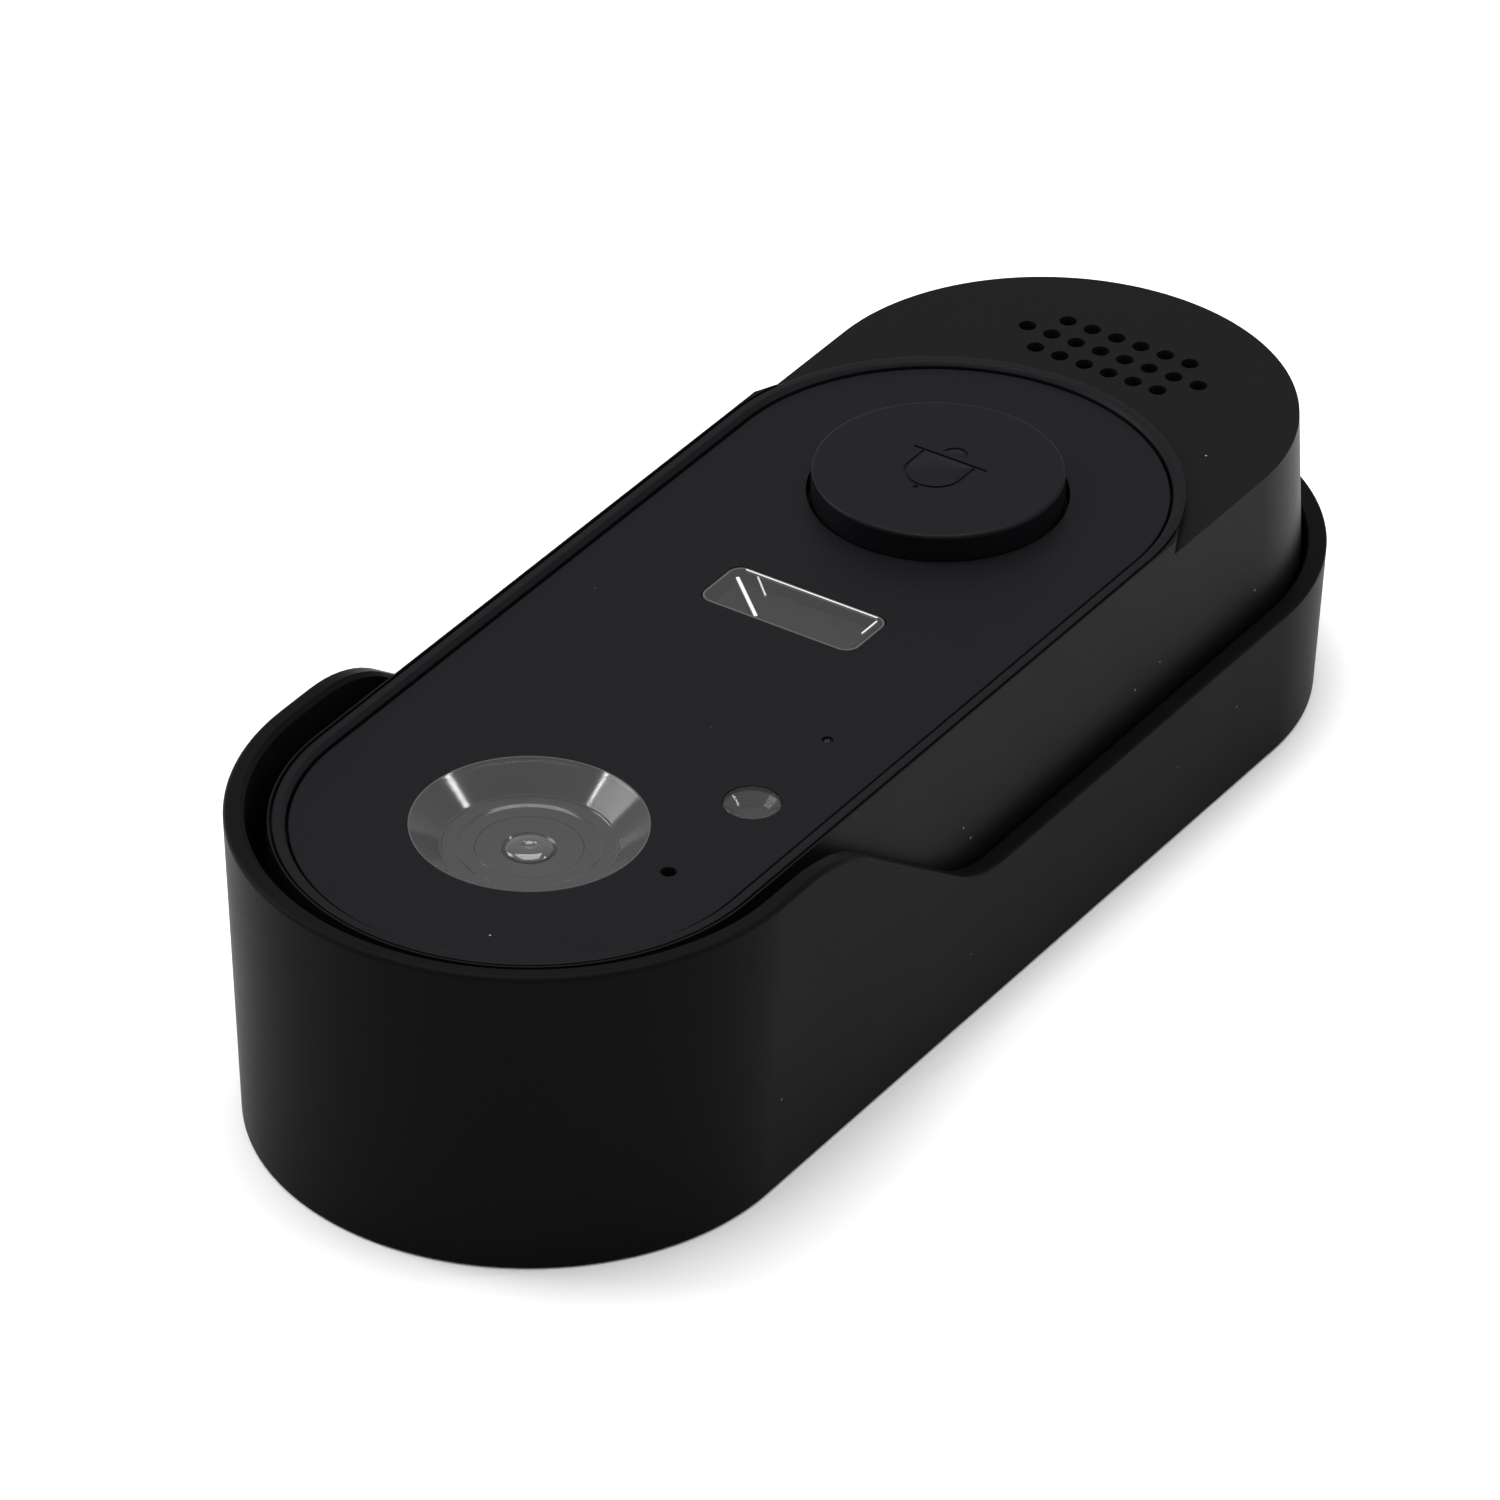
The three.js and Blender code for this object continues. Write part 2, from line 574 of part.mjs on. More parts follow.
function pirWindow() {
  const low = DECK_TOP - 1.6;
  const cup = slab(PIR_W, PIR_L, PIR_CORNER, low, PANEL_Z, 0, PIR_DOWN);
  const inner = PIR_CORNER - PIR_WALL / 2;
  const hollow = slab(PIR_W - 2 * PIR_WALL, PIR_L - 2 * PIR_WALL, inner, low - OVER,
    PANEL_Z - PIR_WALL, 0, PIR_DOWN);
  return cut(cup, hollow);
}

function pirSensor() {
  const top = DECK_TOP - 2.2;
  return turned([
    [0, BOARD_TOP],
    [4.6, BOARD_TOP],
    [4.6, BOARD_TOP + 0.5],
    [4.1, BOARD_TOP + 0.5],
    [4.1, top],
    [0, top],
  ], 0, PIR_DOWN, 20);
}

const ambientWindow = () =>
  disc(AMBIENT_R, DECK_TOP - DECK_T, PANEL_Z, SIDE_X, AMBIENT_DOWN);

const ambientSensor = () =>
  slab(3.2, 2.6, 0.2, BOARD_TOP, BOARD_TOP + 1, SIDE_X, AMBIENT_DOWN);

const statusLed = () =>
  slab(1.8, 1.2, 0.2, BOARD_TOP, BOARD_TOP + 0.7, SIDE_X, LED_DOWN);

const statusLightPipe = () =>
  disc(LED_R, BOARD_TOP + 0.8, PANEL_Z, SIDE_X, LED_DOWN);

const microphone = () =>
  slab(3.5, 2.65, 0.3, BOARD_TOP, BOARD_TOP + 1, SIDE_X, MIC_DOWN);

const micBoot = () =>
  ring(MIC_R, MIC_R + 0.8, BOARD_TOP + 1, DECK_TOP, SIDE_X, MIC_DOWN);

// ---------------------------------------------------------------- call button

function callButton() {
  const flange = BUTTON_R + FLANGE_W;
  const stemFoot = PLUNGER_TOP + 0.1;
  return turned([
    [0, stemFoot],
    [STEM_R, stemFoot],
    [STEM_R, FLANGE_Z],
    [flange, FLANGE_Z],
    [flange, FLANGE_TOP],
    [BUTTON_R, FLANGE_TOP],
    [BUTTON_R, BUTTON_TOP - BUTTON_EDGE],
    [BUTTON_R - BUTTON_EDGE, BUTTON_TOP],
    [0, BUTTON_TOP],
  ], 0, BUTTON_DOWN, ROUND);
}

const buttonReturnPad = () =>
  ring(BUTTON_R - 3, BUTTON_R, POCKET_Z, POCKET_Z + RETURN_PAD_T, 0, BUTTON_DOWN, ROUND);

function switchBody() {
  const body = slab(6, 6, 0.4, BOARD_TOP, BOARD_TOP + SWITCH_H, 0, BUTTON_DOWN);
  const well = disc(1.75, PLUNGER_FOOT - BUTTON_TRAVEL - 0.2, BOARD_TOP + SWITCH_H + OVER, 0,
    BUTTON_DOWN);
  return cut(body, well);
}

const PLUNGER_FOOT = PLUNGER_TOP - 2.4;
const switchPlunger = () => disc(1.5, PLUNGER_FOOT, PLUNGER_TOP, 0, BUTTON_DOWN);

// ---------------------------------------------------------------- electronics

function mainBoard() {
  const blank = stadium(plateProfile(BOARD_R, BOARD_Z, BOARD_TOP), 0, BOARD_END);
  const low = BOARD_Z - OVER;
  const high = BOARD_TOP + OVER;
  const notches = caseBosses().map(([x, down]) =>
    disc(CASE_BOSS_R + 2 * CLEAR, low, high, x, down));
  const holes = boardPosts().map(([x, down]) => disc(SCREW_R + 0.2, low, high, x, down));
  const cameraWay = disc(CAMERA_R + 0.8, low, high, 0, 0, ROUND);
  return cut(blank, cameraWay, ...notches, ...holes);
}

const shieldCan = () => slab(15, 14, 1, BOARD_Z - 1.4, BOARD_Z, 0, 26);

const antenna = () => slab(2.2, 26, 0.8, BOARD_TOP, BOARD_TOP + 3, BOARD_R - 1.2, 26);

const batteryCell = () =>
  slab(BATTERY_W, BATTERY_L, 2.5, CASE_Z + 0.3, CASE_Z + 0.3 + BATTERY_T, 0, BATTERY_DOWN);

const batteryPad = () => {
  const top = CASE_Z + 0.3 + BATTERY_T;
  return slab(BATTERY_W - 4, BATTERY_L / 4, 1, top, top + 0.6, 0, BATTERY_DOWN + BATTERY_L / 4);
};

function speaker() {
  const top = SPEAKER_CEILING - 1.0;
  return turned([
    [0, top - SPEAKER_H],
    [SPEAKER_R - 2.4, top - SPEAKER_H],
    [SPEAKER_R - 2.4, top - SPEAKER_H + 1.8],
    [SPEAKER_R, top - 1.6],
    [SPEAKER_R, top],
    [0, top],
  ], 0, SPEAKER_DOWN, ROUND);
}

const speakerGasket = () =>
  ring(SPEAKER_R - 1.4, SPEAKER_R, SPEAKER_CEILING - 1, SPEAKER_CEILING - 0.4, 0, SPEAKER_DOWN, ROUND);

const speakerMesh = () =>
  disc(SPEAKER_R + 0.2, SPEAKER_CEILING - 0.4, SPEAKER_CEILING, 0, SPEAKER_DOWN, ROUND);

// ---------------------------------------------------------------- charging port and setup

const CHARGE_BOARD_TOP = PORT_Z - PORT_H / 2;

const chargeBoard = () =>
  slab(16, 12, 1, CHARGE_BOARD_TOP - BOARD_T, CHARGE_BOARD_TOP, 0, PORT_FLOOR_DOWN - 3.6 - 6);

function usbPort() {
  const mouth = PORT_FLOOR_DOWN - 0.3;
  const shell = upright(PORT_W, PORT_H, 1.1, mouth - PORT_L, mouth, 0, PORT_Z);
  const hollow = upright(PORT_W - 0.6, PORT_H - 0.6, 0.9, mouth - PORT_L + 1, mouth + OVER, 0, PORT_Z);
  const tongue = upright(PORT_W - 2.4, 0.7, 0.2, mouth - PORT_L + 0.5, mouth - 1.4, 0, PORT_Z);
  return join(cut(shell, hollow), tongue);
}

// The cover is flush with the curved end, so it is the rounded block that the housing's
// own outline leaves.
function portCover() {
  const block = upright(COVER_W, COVER_H, 1.4, PORT_FLOOR_DOWN, PORT_FLOOR_DOWN + COVER_T + OVER,
    0, PORT_Z);
  const outline = stadium(outerProfile(0.05), 0, UNIT_PITCH);
  const plug = upright(PORT_W - 1.2, PORT_H - 1.2, 0.7, PORT_FLOOR_DOWN - 1.2,
    PORT_FLOOR_DOWN + 0.5, 0, PORT_Z);
  return join(block.intersect(outline), plug);
}

function setupButton() {
  const flange = CASE_Z + 0.2;
  return turned([
    [0, BACK_Z + 0.4],
    [SETUP_R, BACK_Z + 0.4],
    [SETUP_R, flange],
    [SETUP_R + 0.8, flange],
    [SETUP_R + 0.8, flange + 0.8],
    [0, flange + 0.8],
  ], 0, SETUP_DOWN);
}

const setupSwitch = () => {
  const foot = CASE_Z + 1 + SETUP_TRAVEL + 0.2;
  return slab(4.5, 4.5, 0.4, foot, CHARGE_BOARD_TOP - BOARD_T, 0, SETUP_DOWN);
};

// ---------------------------------------------------------------- screws

// A pan head at the foot and a shank that runs up from it.
function screw(x, down, seat, grip) {
  const foot = seat - SCREW_HEAD_T;
  const body = turned([
    [0, foot],
    [SCREW_HEAD_R - 0.3, foot],
    [SCREW_HEAD_R, foot + 0.35],
    [SCREW_HEAD_R, seat],
    [SCREW_R, seat],
    [SCREW_R, seat + grip - 0.6],
    [0, seat + grip],
  ], x, down, 12);
  const slots = [[2.2, 0.5], [0.5, 2.2]].map(([w, l]) =>
    bar(w, l, foot - OVER, foot + 0.6, x, down));
  return cut(body, ...slots);
}

const caseScrew = ([x, down]) => screw(x, down, BACK_Z + SCREW_HEAD_T + 0.1, SCREW_GRIP);
const boardScrew = ([x, down]) => screw(x, down, BOARD_Z, BOARD_T + 3.5);

// ---------------------------------------------------------------- assembly

const doorbell = new THREE.Group();
doorbell.name = 'video_doorbell';

const wallTray = new THREE.Group();
wallTray.add(piece('mount_bracket', mountBracket(), BLACK_PLASTIC()));

const casing = new THREE.Group();
casing.add(
  piece('side_housing', sideHousing(), BLACK_PLASTIC()),
  piece('bezel_ring', bezelRing(), FACE_PLASTIC()),
  piece('front_panel', frontPanel(), FACE_PLASTIC()),
  piece('back_cover', backCover(), BLACK_PLASTIC()),
  piece('housing_seal', housingSeal(), RUBBER()),
);

const camera = new THREE.Group();
camera.add(
  piece('camera_window', cameraWindow(), SMOKED_WINDOW()),
  piece('camera_funnel', cameraFunnel(), FUNNEL_GREY()),
  piece('lens_barrel', lensBarrel(), CHIP_BLACK()),
  piece('lens_element', lensElement(), LENS_GLASS()),
  piece('camera_board', cameraBoard(), BOARD_GREEN()),
  piece('image_sensor', imageSensor(), CHIP_BLACK()),
  piece('led_board', ledBoard(), BOARD_GREEN()),
  piece('infrared_led_1', infraredLed(-LED_X), LIGHT_PIPE()),
  piece('infrared_led_2', infraredLed(LED_X), LIGHT_PIPE()),
);

const facePorts = new THREE.Group();
facePorts.add(
  piece('pir_window', pirWindow(), MILKY_WINDOW()),
  piece('pir_sensor', pirSensor(), STEEL()),
  piece('light_sensor_window', ambientWindow(), SMOKED_WINDOW()),
  piece('light_sensor', ambientSensor(), CHIP_BLACK()),
  piece('status_light_pipe', statusLightPipe(), LIGHT_PIPE()),
  piece('status_led', statusLed(), LIGHT_PIPE()),
  piece('microphone', microphone(), STEEL()),
  piece('mic_boot', micBoot(), RUBBER()),
);

const button = new THREE.Group();
button.add(
  piece('call_button', callButton(), BUTTON_PLASTIC()),
  piece('button_return_pad', buttonReturnPad(), RUBBER()),
  piece('switch_body', switchBody(), CHIP_BLACK()),
  piece('switch_plunger', switchPlunger(), CHIP_BLACK()),
);

const electronics = new THREE.Group();
electronics.add(
  piece('main_board', mainBoard(), BOARD_GREEN()),
  piece('shield_can', shieldCan(), STEEL()),
  piece('antenna', antenna(), FOIL()),
  piece('battery_cell', batteryCell(), FOIL()),
  piece('battery_pad', batteryPad(), RUBBER()),
  piece('speaker', speaker(), CHIP_BLACK()),
  piece('speaker_gasket', speakerGasket(), RUBBER()),
  piece('speaker_mesh', speakerMesh(), MESH_CLOTH()),
  piece('charge_board', chargeBoard(), BOARD_GREEN()),
  piece('usb_port', usbPort(), STEEL()),
  piece('port_cover', portCover(), RUBBER()),
  piece('setup_button', setupButton(), RUBBER()),
  piece('setup_switch', setupSwitch(), CHIP_BLACK()),
);

const fasteners = new THREE.Group();
caseBosses().forEach((place, i) => fasteners.add(piece(`case_screw_${i + 1}`, caseScrew(place), STEEL())));
boardPosts().forEach((place, i) => fasteners.add(piece(`board_screw_${i + 1}`, boardScrew(place), STEEL())));

doorbell.add(wallTray, casing, camera, facePorts, button, electronics, fasteners);

export default doorbell;
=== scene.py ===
# %% [markdown]
# # A battery video doorbell, lying on its back
# The doorbell is two things: a wall tray with a rain hood, and a camera unit that lies in it.
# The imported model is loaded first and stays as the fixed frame. Every piece made here takes its
# place and size from the frame's own boxes, so nothing has to be fitted by eye.

import bpy
import bmesh
from math import cos, pi, radians, sin, tan
from mathutils import Matrix, Vector
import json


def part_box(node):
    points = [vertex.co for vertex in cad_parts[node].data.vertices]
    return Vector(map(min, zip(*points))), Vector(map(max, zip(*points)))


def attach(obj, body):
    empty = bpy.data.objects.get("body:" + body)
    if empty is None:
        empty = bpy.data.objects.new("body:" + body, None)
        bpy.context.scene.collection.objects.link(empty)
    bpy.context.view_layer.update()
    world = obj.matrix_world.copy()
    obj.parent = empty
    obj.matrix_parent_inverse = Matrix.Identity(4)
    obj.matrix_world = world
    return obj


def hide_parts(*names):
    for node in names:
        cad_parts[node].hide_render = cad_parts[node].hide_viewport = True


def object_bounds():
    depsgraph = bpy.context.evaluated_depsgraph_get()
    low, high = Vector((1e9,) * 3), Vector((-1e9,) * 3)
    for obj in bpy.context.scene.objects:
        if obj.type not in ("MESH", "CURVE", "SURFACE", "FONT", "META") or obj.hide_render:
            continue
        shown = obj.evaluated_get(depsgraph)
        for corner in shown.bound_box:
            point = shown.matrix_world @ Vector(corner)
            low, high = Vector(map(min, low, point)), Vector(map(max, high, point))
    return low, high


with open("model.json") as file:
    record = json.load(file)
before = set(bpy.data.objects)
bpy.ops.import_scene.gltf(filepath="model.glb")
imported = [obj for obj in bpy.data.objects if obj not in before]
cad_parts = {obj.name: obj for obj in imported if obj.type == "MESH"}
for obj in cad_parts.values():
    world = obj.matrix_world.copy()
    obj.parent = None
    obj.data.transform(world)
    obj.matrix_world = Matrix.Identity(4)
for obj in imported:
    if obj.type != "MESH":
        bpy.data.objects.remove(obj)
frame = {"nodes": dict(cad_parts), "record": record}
cad_low, cad_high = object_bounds()
MM = 0.001
print("frame", [round(v / MM, 2) for v in cad_high - cad_low], "mm")

# %% [markdown]
# ## Places read from the frame
# The unit and its raised face are both stadiums: two half rounds joined by straight sides. Such
# a shape is settled by a radius and the places of its two centres, and all three can be read
# from the box of a node. The far centre is the one under the hood, where the camera is.

# %% Centres and radii
tray_low, tray_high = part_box("mount_bracket")
case_low, case_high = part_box("side_housing")
ring_low, ring_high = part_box("bezel_ring")
panel_low, panel_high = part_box("front_panel")
cover_low, cover_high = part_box("back_cover")


def middle(node):
    low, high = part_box(node)
    return (low + high) / 2


BELT_R, HOOD_R = case_high.x, tray_high.x
RING_R, PANEL_R = ring_high.x, panel_high.x
HEEL_R = cover_high.x
FAR = case_high.y - BELT_R
UNIT_NEAR = case_low.y + BELT_R
FACE_NEAR = ring_low.y + RING_R
FACE_Z, PANEL_Z, DECK_TOP = case_high.z, panel_high.z, panel_low.z
CASE_Z = case_low.z
print("far centre", round(FAR / MM, 2), "near centres", round(UNIT_NEAR / MM, 2),
      round(FACE_NEAR / MM, 2), "mm")

# %% [markdown]
# ## Tools for selecting and drawing
# An operator works on whatever is selected, so each step starts from nothing selected, and then
# picks points, edges or faces by where they are. A round piece starts as one point that is drawn
# out into an outline with extrude, and the outline is then spun.

# %% Selecting by place
TINY = 1e-6
QUARTER = 40


def nothing_selected():
    if bpy.context.mode != "OBJECT":
        bpy.ops.object.mode_set(mode="OBJECT")
    bpy.ops.object.select_all(action="DESELECT")


def only(piece):
    nothing_selected()
    piece.select_set(True)
    bpy.context.view_layer.objects.active = piece


def pick(kind, test):
    mesh = bmesh.from_edit_mesh(bpy.context.edit_object.data)
    bpy.ops.mesh.select_mode(type=kind)
    bpy.ops.mesh.select_all(action="DESELECT")
    for part in {"VERT": mesh.verts, "EDGE": mesh.edges, "FACE": mesh.faces}[kind]:
        points = [part.co] if kind == "VERT" else [v.co for v in part.verts]
        if all(test(p) for p in points):
            part.select_set(True)
    mesh.select_flush(True)
    bmesh.update_edit_mesh(bpy.context.edit_object.data)


def tidy_mesh():
    bpy.ops.mesh.select_all(action="SELECT")
    bpy.ops.mesh.remove_doubles(threshold=TINY)
    bpy.ops.mesh.normals_make_consistent(inside=False)
    bpy.ops.object.mode_set(mode="OBJECT")


# %% Drawing an outline and spinning it
def drawn(name, outline, y=0.0, x=0.0):
    nothing_selected()
    bpy.ops.mesh.primitive_plane_add(size=MM, enter_editmode=True, location=(0, 0, 0))
    piece = bpy.context.object
    piece.name = piece.data.name = name
    bpy.ops.mesh.select_mode(type="VERT")
    bpy.ops.mesh.merge(type="CENTER")
    bpy.ops.transform.translate(value=(x, y + outline[0][0], outline[0][1]))
    for (r0, z0), (r1, z1) in zip(outline, outline[1:]):
        step = (0, r1 - r0, z1 - z0)
        bpy.ops.mesh.extrude_region_move(TRANSFORM_OT_translate={"value": step})
    bpy.ops.mesh.select_all(action="SELECT")
    return piece


def turned(name, outline, x, y, quarter=QUARTER):
    piece = drawn(name, outline, y, x)
    bpy.ops.mesh.spin(steps=4 * quarter, angle=2 * pi, center=(x, y, 0), axis=(0, 0, 1))
    tidy_mesh()
    return piece


def carried(name, outline, far, near, stops=(), shape=None, quarter=QUARTER):
    piece = drawn(name, outline, far)
    bpy.ops.mesh.spin(steps=quarter, angle=pi / 2, center=(0, far, 0), axis=(0, 0, 1))
    here = far
    for there in (*stops, near):
        step = (0, there - here, 0)
        bpy.ops.mesh.extrude_region_move(TRANSFORM_OT_translate={"value": step})
        if shape:
            shape(here, there)
        here = there
    bpy.ops.mesh.spin(steps=quarter, angle=pi / 2, center=(0, near, 0), axis=(0, 0, 1))
    mirrored(piece)
    return piece


def mirrored(piece):
    bpy.ops.object.mode_set(mode="OBJECT")
    only(piece)
    half = piece.modifiers.new("Other half", "MIRROR")
    half.merge_threshold = 10 * TINY
    bpy.ops.object.modifier_apply(modifier=half.name)
    bpy.ops.object.mode_set(mode="EDIT")
    tidy_mesh()


def bend(r, z, radius, start, end, count=6):
    """Points of a rounded corner of an outline, round the middle (r, z), angles in degrees."""
    turns = [radians(start + (end - start) * i / count) for i in range(count + 1)]
    return [(r + radius * cos(a), z + radius * sin(a)) for a in turns]


# %% Blocks and cutters
def slab(name, size, corner, low, high, x, y, segments=6):
    nothing_selected()
    place = (x, y, (low + high) / 2)
    bpy.ops.mesh.primitive_cube_add(size=1, location=place)
    piece = bpy.context.object
    piece.name = piece.data.name = name
    bpy.ops.transform.resize(value=(size[0], size[1], high - low))
    bpy.ops.object.transform_apply(location=True, rotation=False, scale=True)
    bpy.ops.object.mode_set(mode="EDIT")
    mesh = bmesh.from_edit_mesh(piece.data)
    bpy.ops.mesh.select_mode(type="EDGE")
    bpy.ops.mesh.select_all(action="DESELECT")
    for edge in mesh.edges:
        ends = [v.co.z for v in edge.verts]
        edge.select_set(abs(ends[0] - ends[1]) > TINY)
    bmesh.update_edit_mesh(piece.data)
    bpy.ops.mesh.bevel(offset=corner, segments=segments, affect="EDGES")
    tidy_mesh()
    return piece


def rod(radius, low, high, x, y, facets=4 * QUARTER):
    nothing_selected()
    bpy.ops.mesh.primitive_cylinder_add(vertices=facets, radius=radius, depth=high - low,
                                        location=(x, y, (low + high) / 2))
    bpy.ops.object.transform_apply(location=True, rotation=False, scale=True)
    return bpy.context.object


def joined(*pieces):
    nothing_selected()
    for piece in pieces:
        piece.select_set(True)
    bpy.context.view_layer.objects.active = pieces[0]
    bpy.ops.object.join()
    return pieces[0]


def carve(piece, *cutters, operation="DIFFERENCE"):
    for cutter in cutters:
        only(piece)
        cut = piece.modifiers.new("Cut", "BOOLEAN")
        cut.operation, cut.object, cut.solver = operation, cutter, "EXACT"
        bpy.ops.object.modifier_apply(modifier=cut.name)
        bpy.data.objects.remove(cutter)
    bpy.ops.object.mode_set(mode="EDIT")
    tidy_mesh()


def open_edges(piece):
    mesh = bmesh.new()
    mesh.from_mesh(piece.data)
    count = sum(len(edge.link_faces) != 2 for edge in mesh.edges)
    mesh.free()
    return count


def softened(piece, width, segments=2, angle=32):
    only(piece)
    if width:
        edge = piece.modifiers.new("Soft edges", "BEVEL")
        edge.width, edge.segments, edge.angle_limit = width, segments, radians(angle)
        edge.limit_method, edge.use_clamp_overlap = "ANGLE", True
        bpy.ops.object.modifier_apply(modifier=edge.name)
    bpy.ops.object.shade_smooth_by_angle(angle=radians(angle))
    flat = piece.modifiers.new("Flat faces", "WEIGHTED_NORMAL")
    flat.keep_sharp = True
    bpy.ops.object.modifier_apply(modifier=flat.name)
    return piece


# %% [markdown]
# ## Effects shared by the finishes
# Three effects come back in several finishes: the fine grain of a moulded or rubbery surface,
# specks of dust, and sharp edges made paler, which stands partly for rubbed wear and partly is a
# painted highlight along the edges. Each one is a node group with its own inputs, so a finish
# only says how much of it there is. They read Object coordinates, which stay with a piece wherever
# it moves.

# %% Small helpers for nodes
def node(tree, kind, **settings):
    made = tree.nodes.new("ShaderNode" + kind)
    for name, value in settings.items():
        setattr(made, name, value)
    return made


def wire(tree, source, target):
    tree.links.new(source, target)


def math(tree, operation, first, second):
    made = node(tree, "Math", operation=operation)
    for socket, value in zip(made.inputs, (first, second)):
        if isinstance(value, (int, float)):
            socket.default_value = value
        else:
            wire(tree, value, socket)
    return made.outputs[0]


def effect(name, inputs, outputs):
    tree = bpy.data.node_groups.new(name, "ShaderNodeTree")
    for label, (kind, value) in inputs.items():
        socket = tree.interface.new_socket(label, in_out="INPUT", socket_type="NodeSocket" + kind)
        socket.default_value = value
    for label, kind in outputs.items():
        tree.interface.new_socket(label, in_out="OUTPUT", socket_type="NodeSocket" + kind)
    return tree, tree.nodes.new("NodeGroupInput"), tree.nodes.new("NodeGroupOutput")


# %% Grain of moulded plastic and rubber
def grain_effect():
    tree, given, result = effect(
        "Moulded grain",
        {"Colour": ("Color", (0.02, 0.02, 0.02, 1)), "Unevenness": ("Float", 0.1),
         "Roughness": ("Float", 0.4), "Spread": ("Float", 0.08), "Pitch": ("Float", 3000.0)},
        {"Colour": "Color", "Roughness": "Float", "Height": "Float"})
    place = node(tree, "TexCoord")
    fine = node(tree, "TexNoise")
    wire(tree, place.outputs["Object"], fine.inputs["Vector"])
    wire(tree, given.outputs["Pitch"], fine.inputs["Scale"])
    fine.inputs["Detail"].default_value = 3
    broad = node(tree, "TexNoise")
    wire(tree, place.outputs["Object"], broad.inputs["Vector"])
    broad.inputs["Scale"].default_value = 90
    broad.inputs["Detail"].default_value = 4
    cloudy = math(tree, "SUBTRACT", broad.outputs["Fac"], 0.5)
    gritty = math(tree, "SUBTRACT", fine.outputs["Fac"], 0.5)
    both = math(tree, "ADD", math(tree, "MULTIPLY", cloudy, 1.2), gritty)
    lift = math(tree, "ADD", math(tree, "MULTIPLY", both, given.outputs["Unevenness"]), 1.0)
    shade = node(tree, "VectorMath", operation="SCALE")
    wire(tree, given.outputs["Colour"], shade.inputs[0])
    wire(tree, lift, shade.inputs["Scale"])
    wire(tree, shade.outputs[0], result.inputs["Colour"])
    worn = math(tree, "MULTIPLY", both, given.outputs["Spread"])
    wire(tree, math(tree, "ADD", given.outputs["Roughness"], worn), result.inputs["Roughness"])
    wire(tree, fine.outputs["Fac"], result.inputs["Height"])
    return tree


# %% Specks of dust
def dust_effect():
    tree, given, result = effect(
        "Dust specks", {"Amount": ("Float", 0.05), "Pitch": ("Float", 450.0),
                        "Size": ("Float", 0.045)}, {"Mask": "Float"})
    place = node(tree, "TexCoord")
    cells = node(tree, "TexVoronoi")
    wire(tree, place.outputs["Object"], cells.inputs["Vector"])
    wire(tree, given.outputs["Pitch"], cells.inputs["Scale"])
    near = math(tree, "LESS_THAN", cells.outputs["Distance"], given.outputs["Size"])
    apart = node(tree, "SeparateColor")
    wire(tree, cells.outputs["Color"], apart.inputs[0])
    few = math(tree, "LESS_THAN", apart.outputs[0], given.outputs["Amount"])
    wire(tree, math(tree, "MULTIPLY", near, few), result.inputs["Mask"])
    return tree


# %% Rubbed edges and painted edge highlights
def wear_and_highlight_effect():
    tree, given, result = effect(
        "Rubbed edges and highlights", {"Amount": ("Float", 0.3)}, {"Mask": "Float"})
    shape = node(tree, "NewGeometry")
    # Sharp edges are picked out to be made paler: partly rubbed wear, partly a painted highlight.
    sharp = node(tree, "MapRange")
    wire(tree, shape.outputs["Pointiness"], sharp.inputs["Value"])
    sharp.inputs["From Min"].default_value = 0.53
    sharp.inputs["From Max"].default_value = 0.62
    patches = node(tree, "TexNoise")
    place = node(tree, "TexCoord")
    wire(tree, place.outputs["Object"], patches.inputs["Vector"])
    patches.inputs["Scale"].default_value = 260
    broken = math(tree, "MULTIPLY", sharp.outputs["Result"], patches.outputs["Fac"])
    wire(tree, math(tree, "MULTIPLY", broken, given.outputs["Amount"]), result.inputs["Mask"])
    return tree


GRAIN, DUST, WEAR_AND_HIGHLIGHT = grain_effect(), dust_effect(), wear_and_highlight_effect()
print("shared effects", [tree.name for tree in (GRAIN, DUST, WEAR_AND_HIGHLIGHT)])


# %% [markdown]
# ## Finishes
# Most of the doorbell is black moulded plastic. What tells the pieces apart is how smooth each
# one is and a slight tint: the face is a little cooler than the casing. All the opaque finishes
# come from one maker that puts the three effects together round one Principled shader.

# %% The maker of opaque finishes
def placed(tree, group, **values):
    made = node(tree, "Group", node_tree=group)
    for name, value in values.items():
        made.inputs[name].default_value = value
    return made


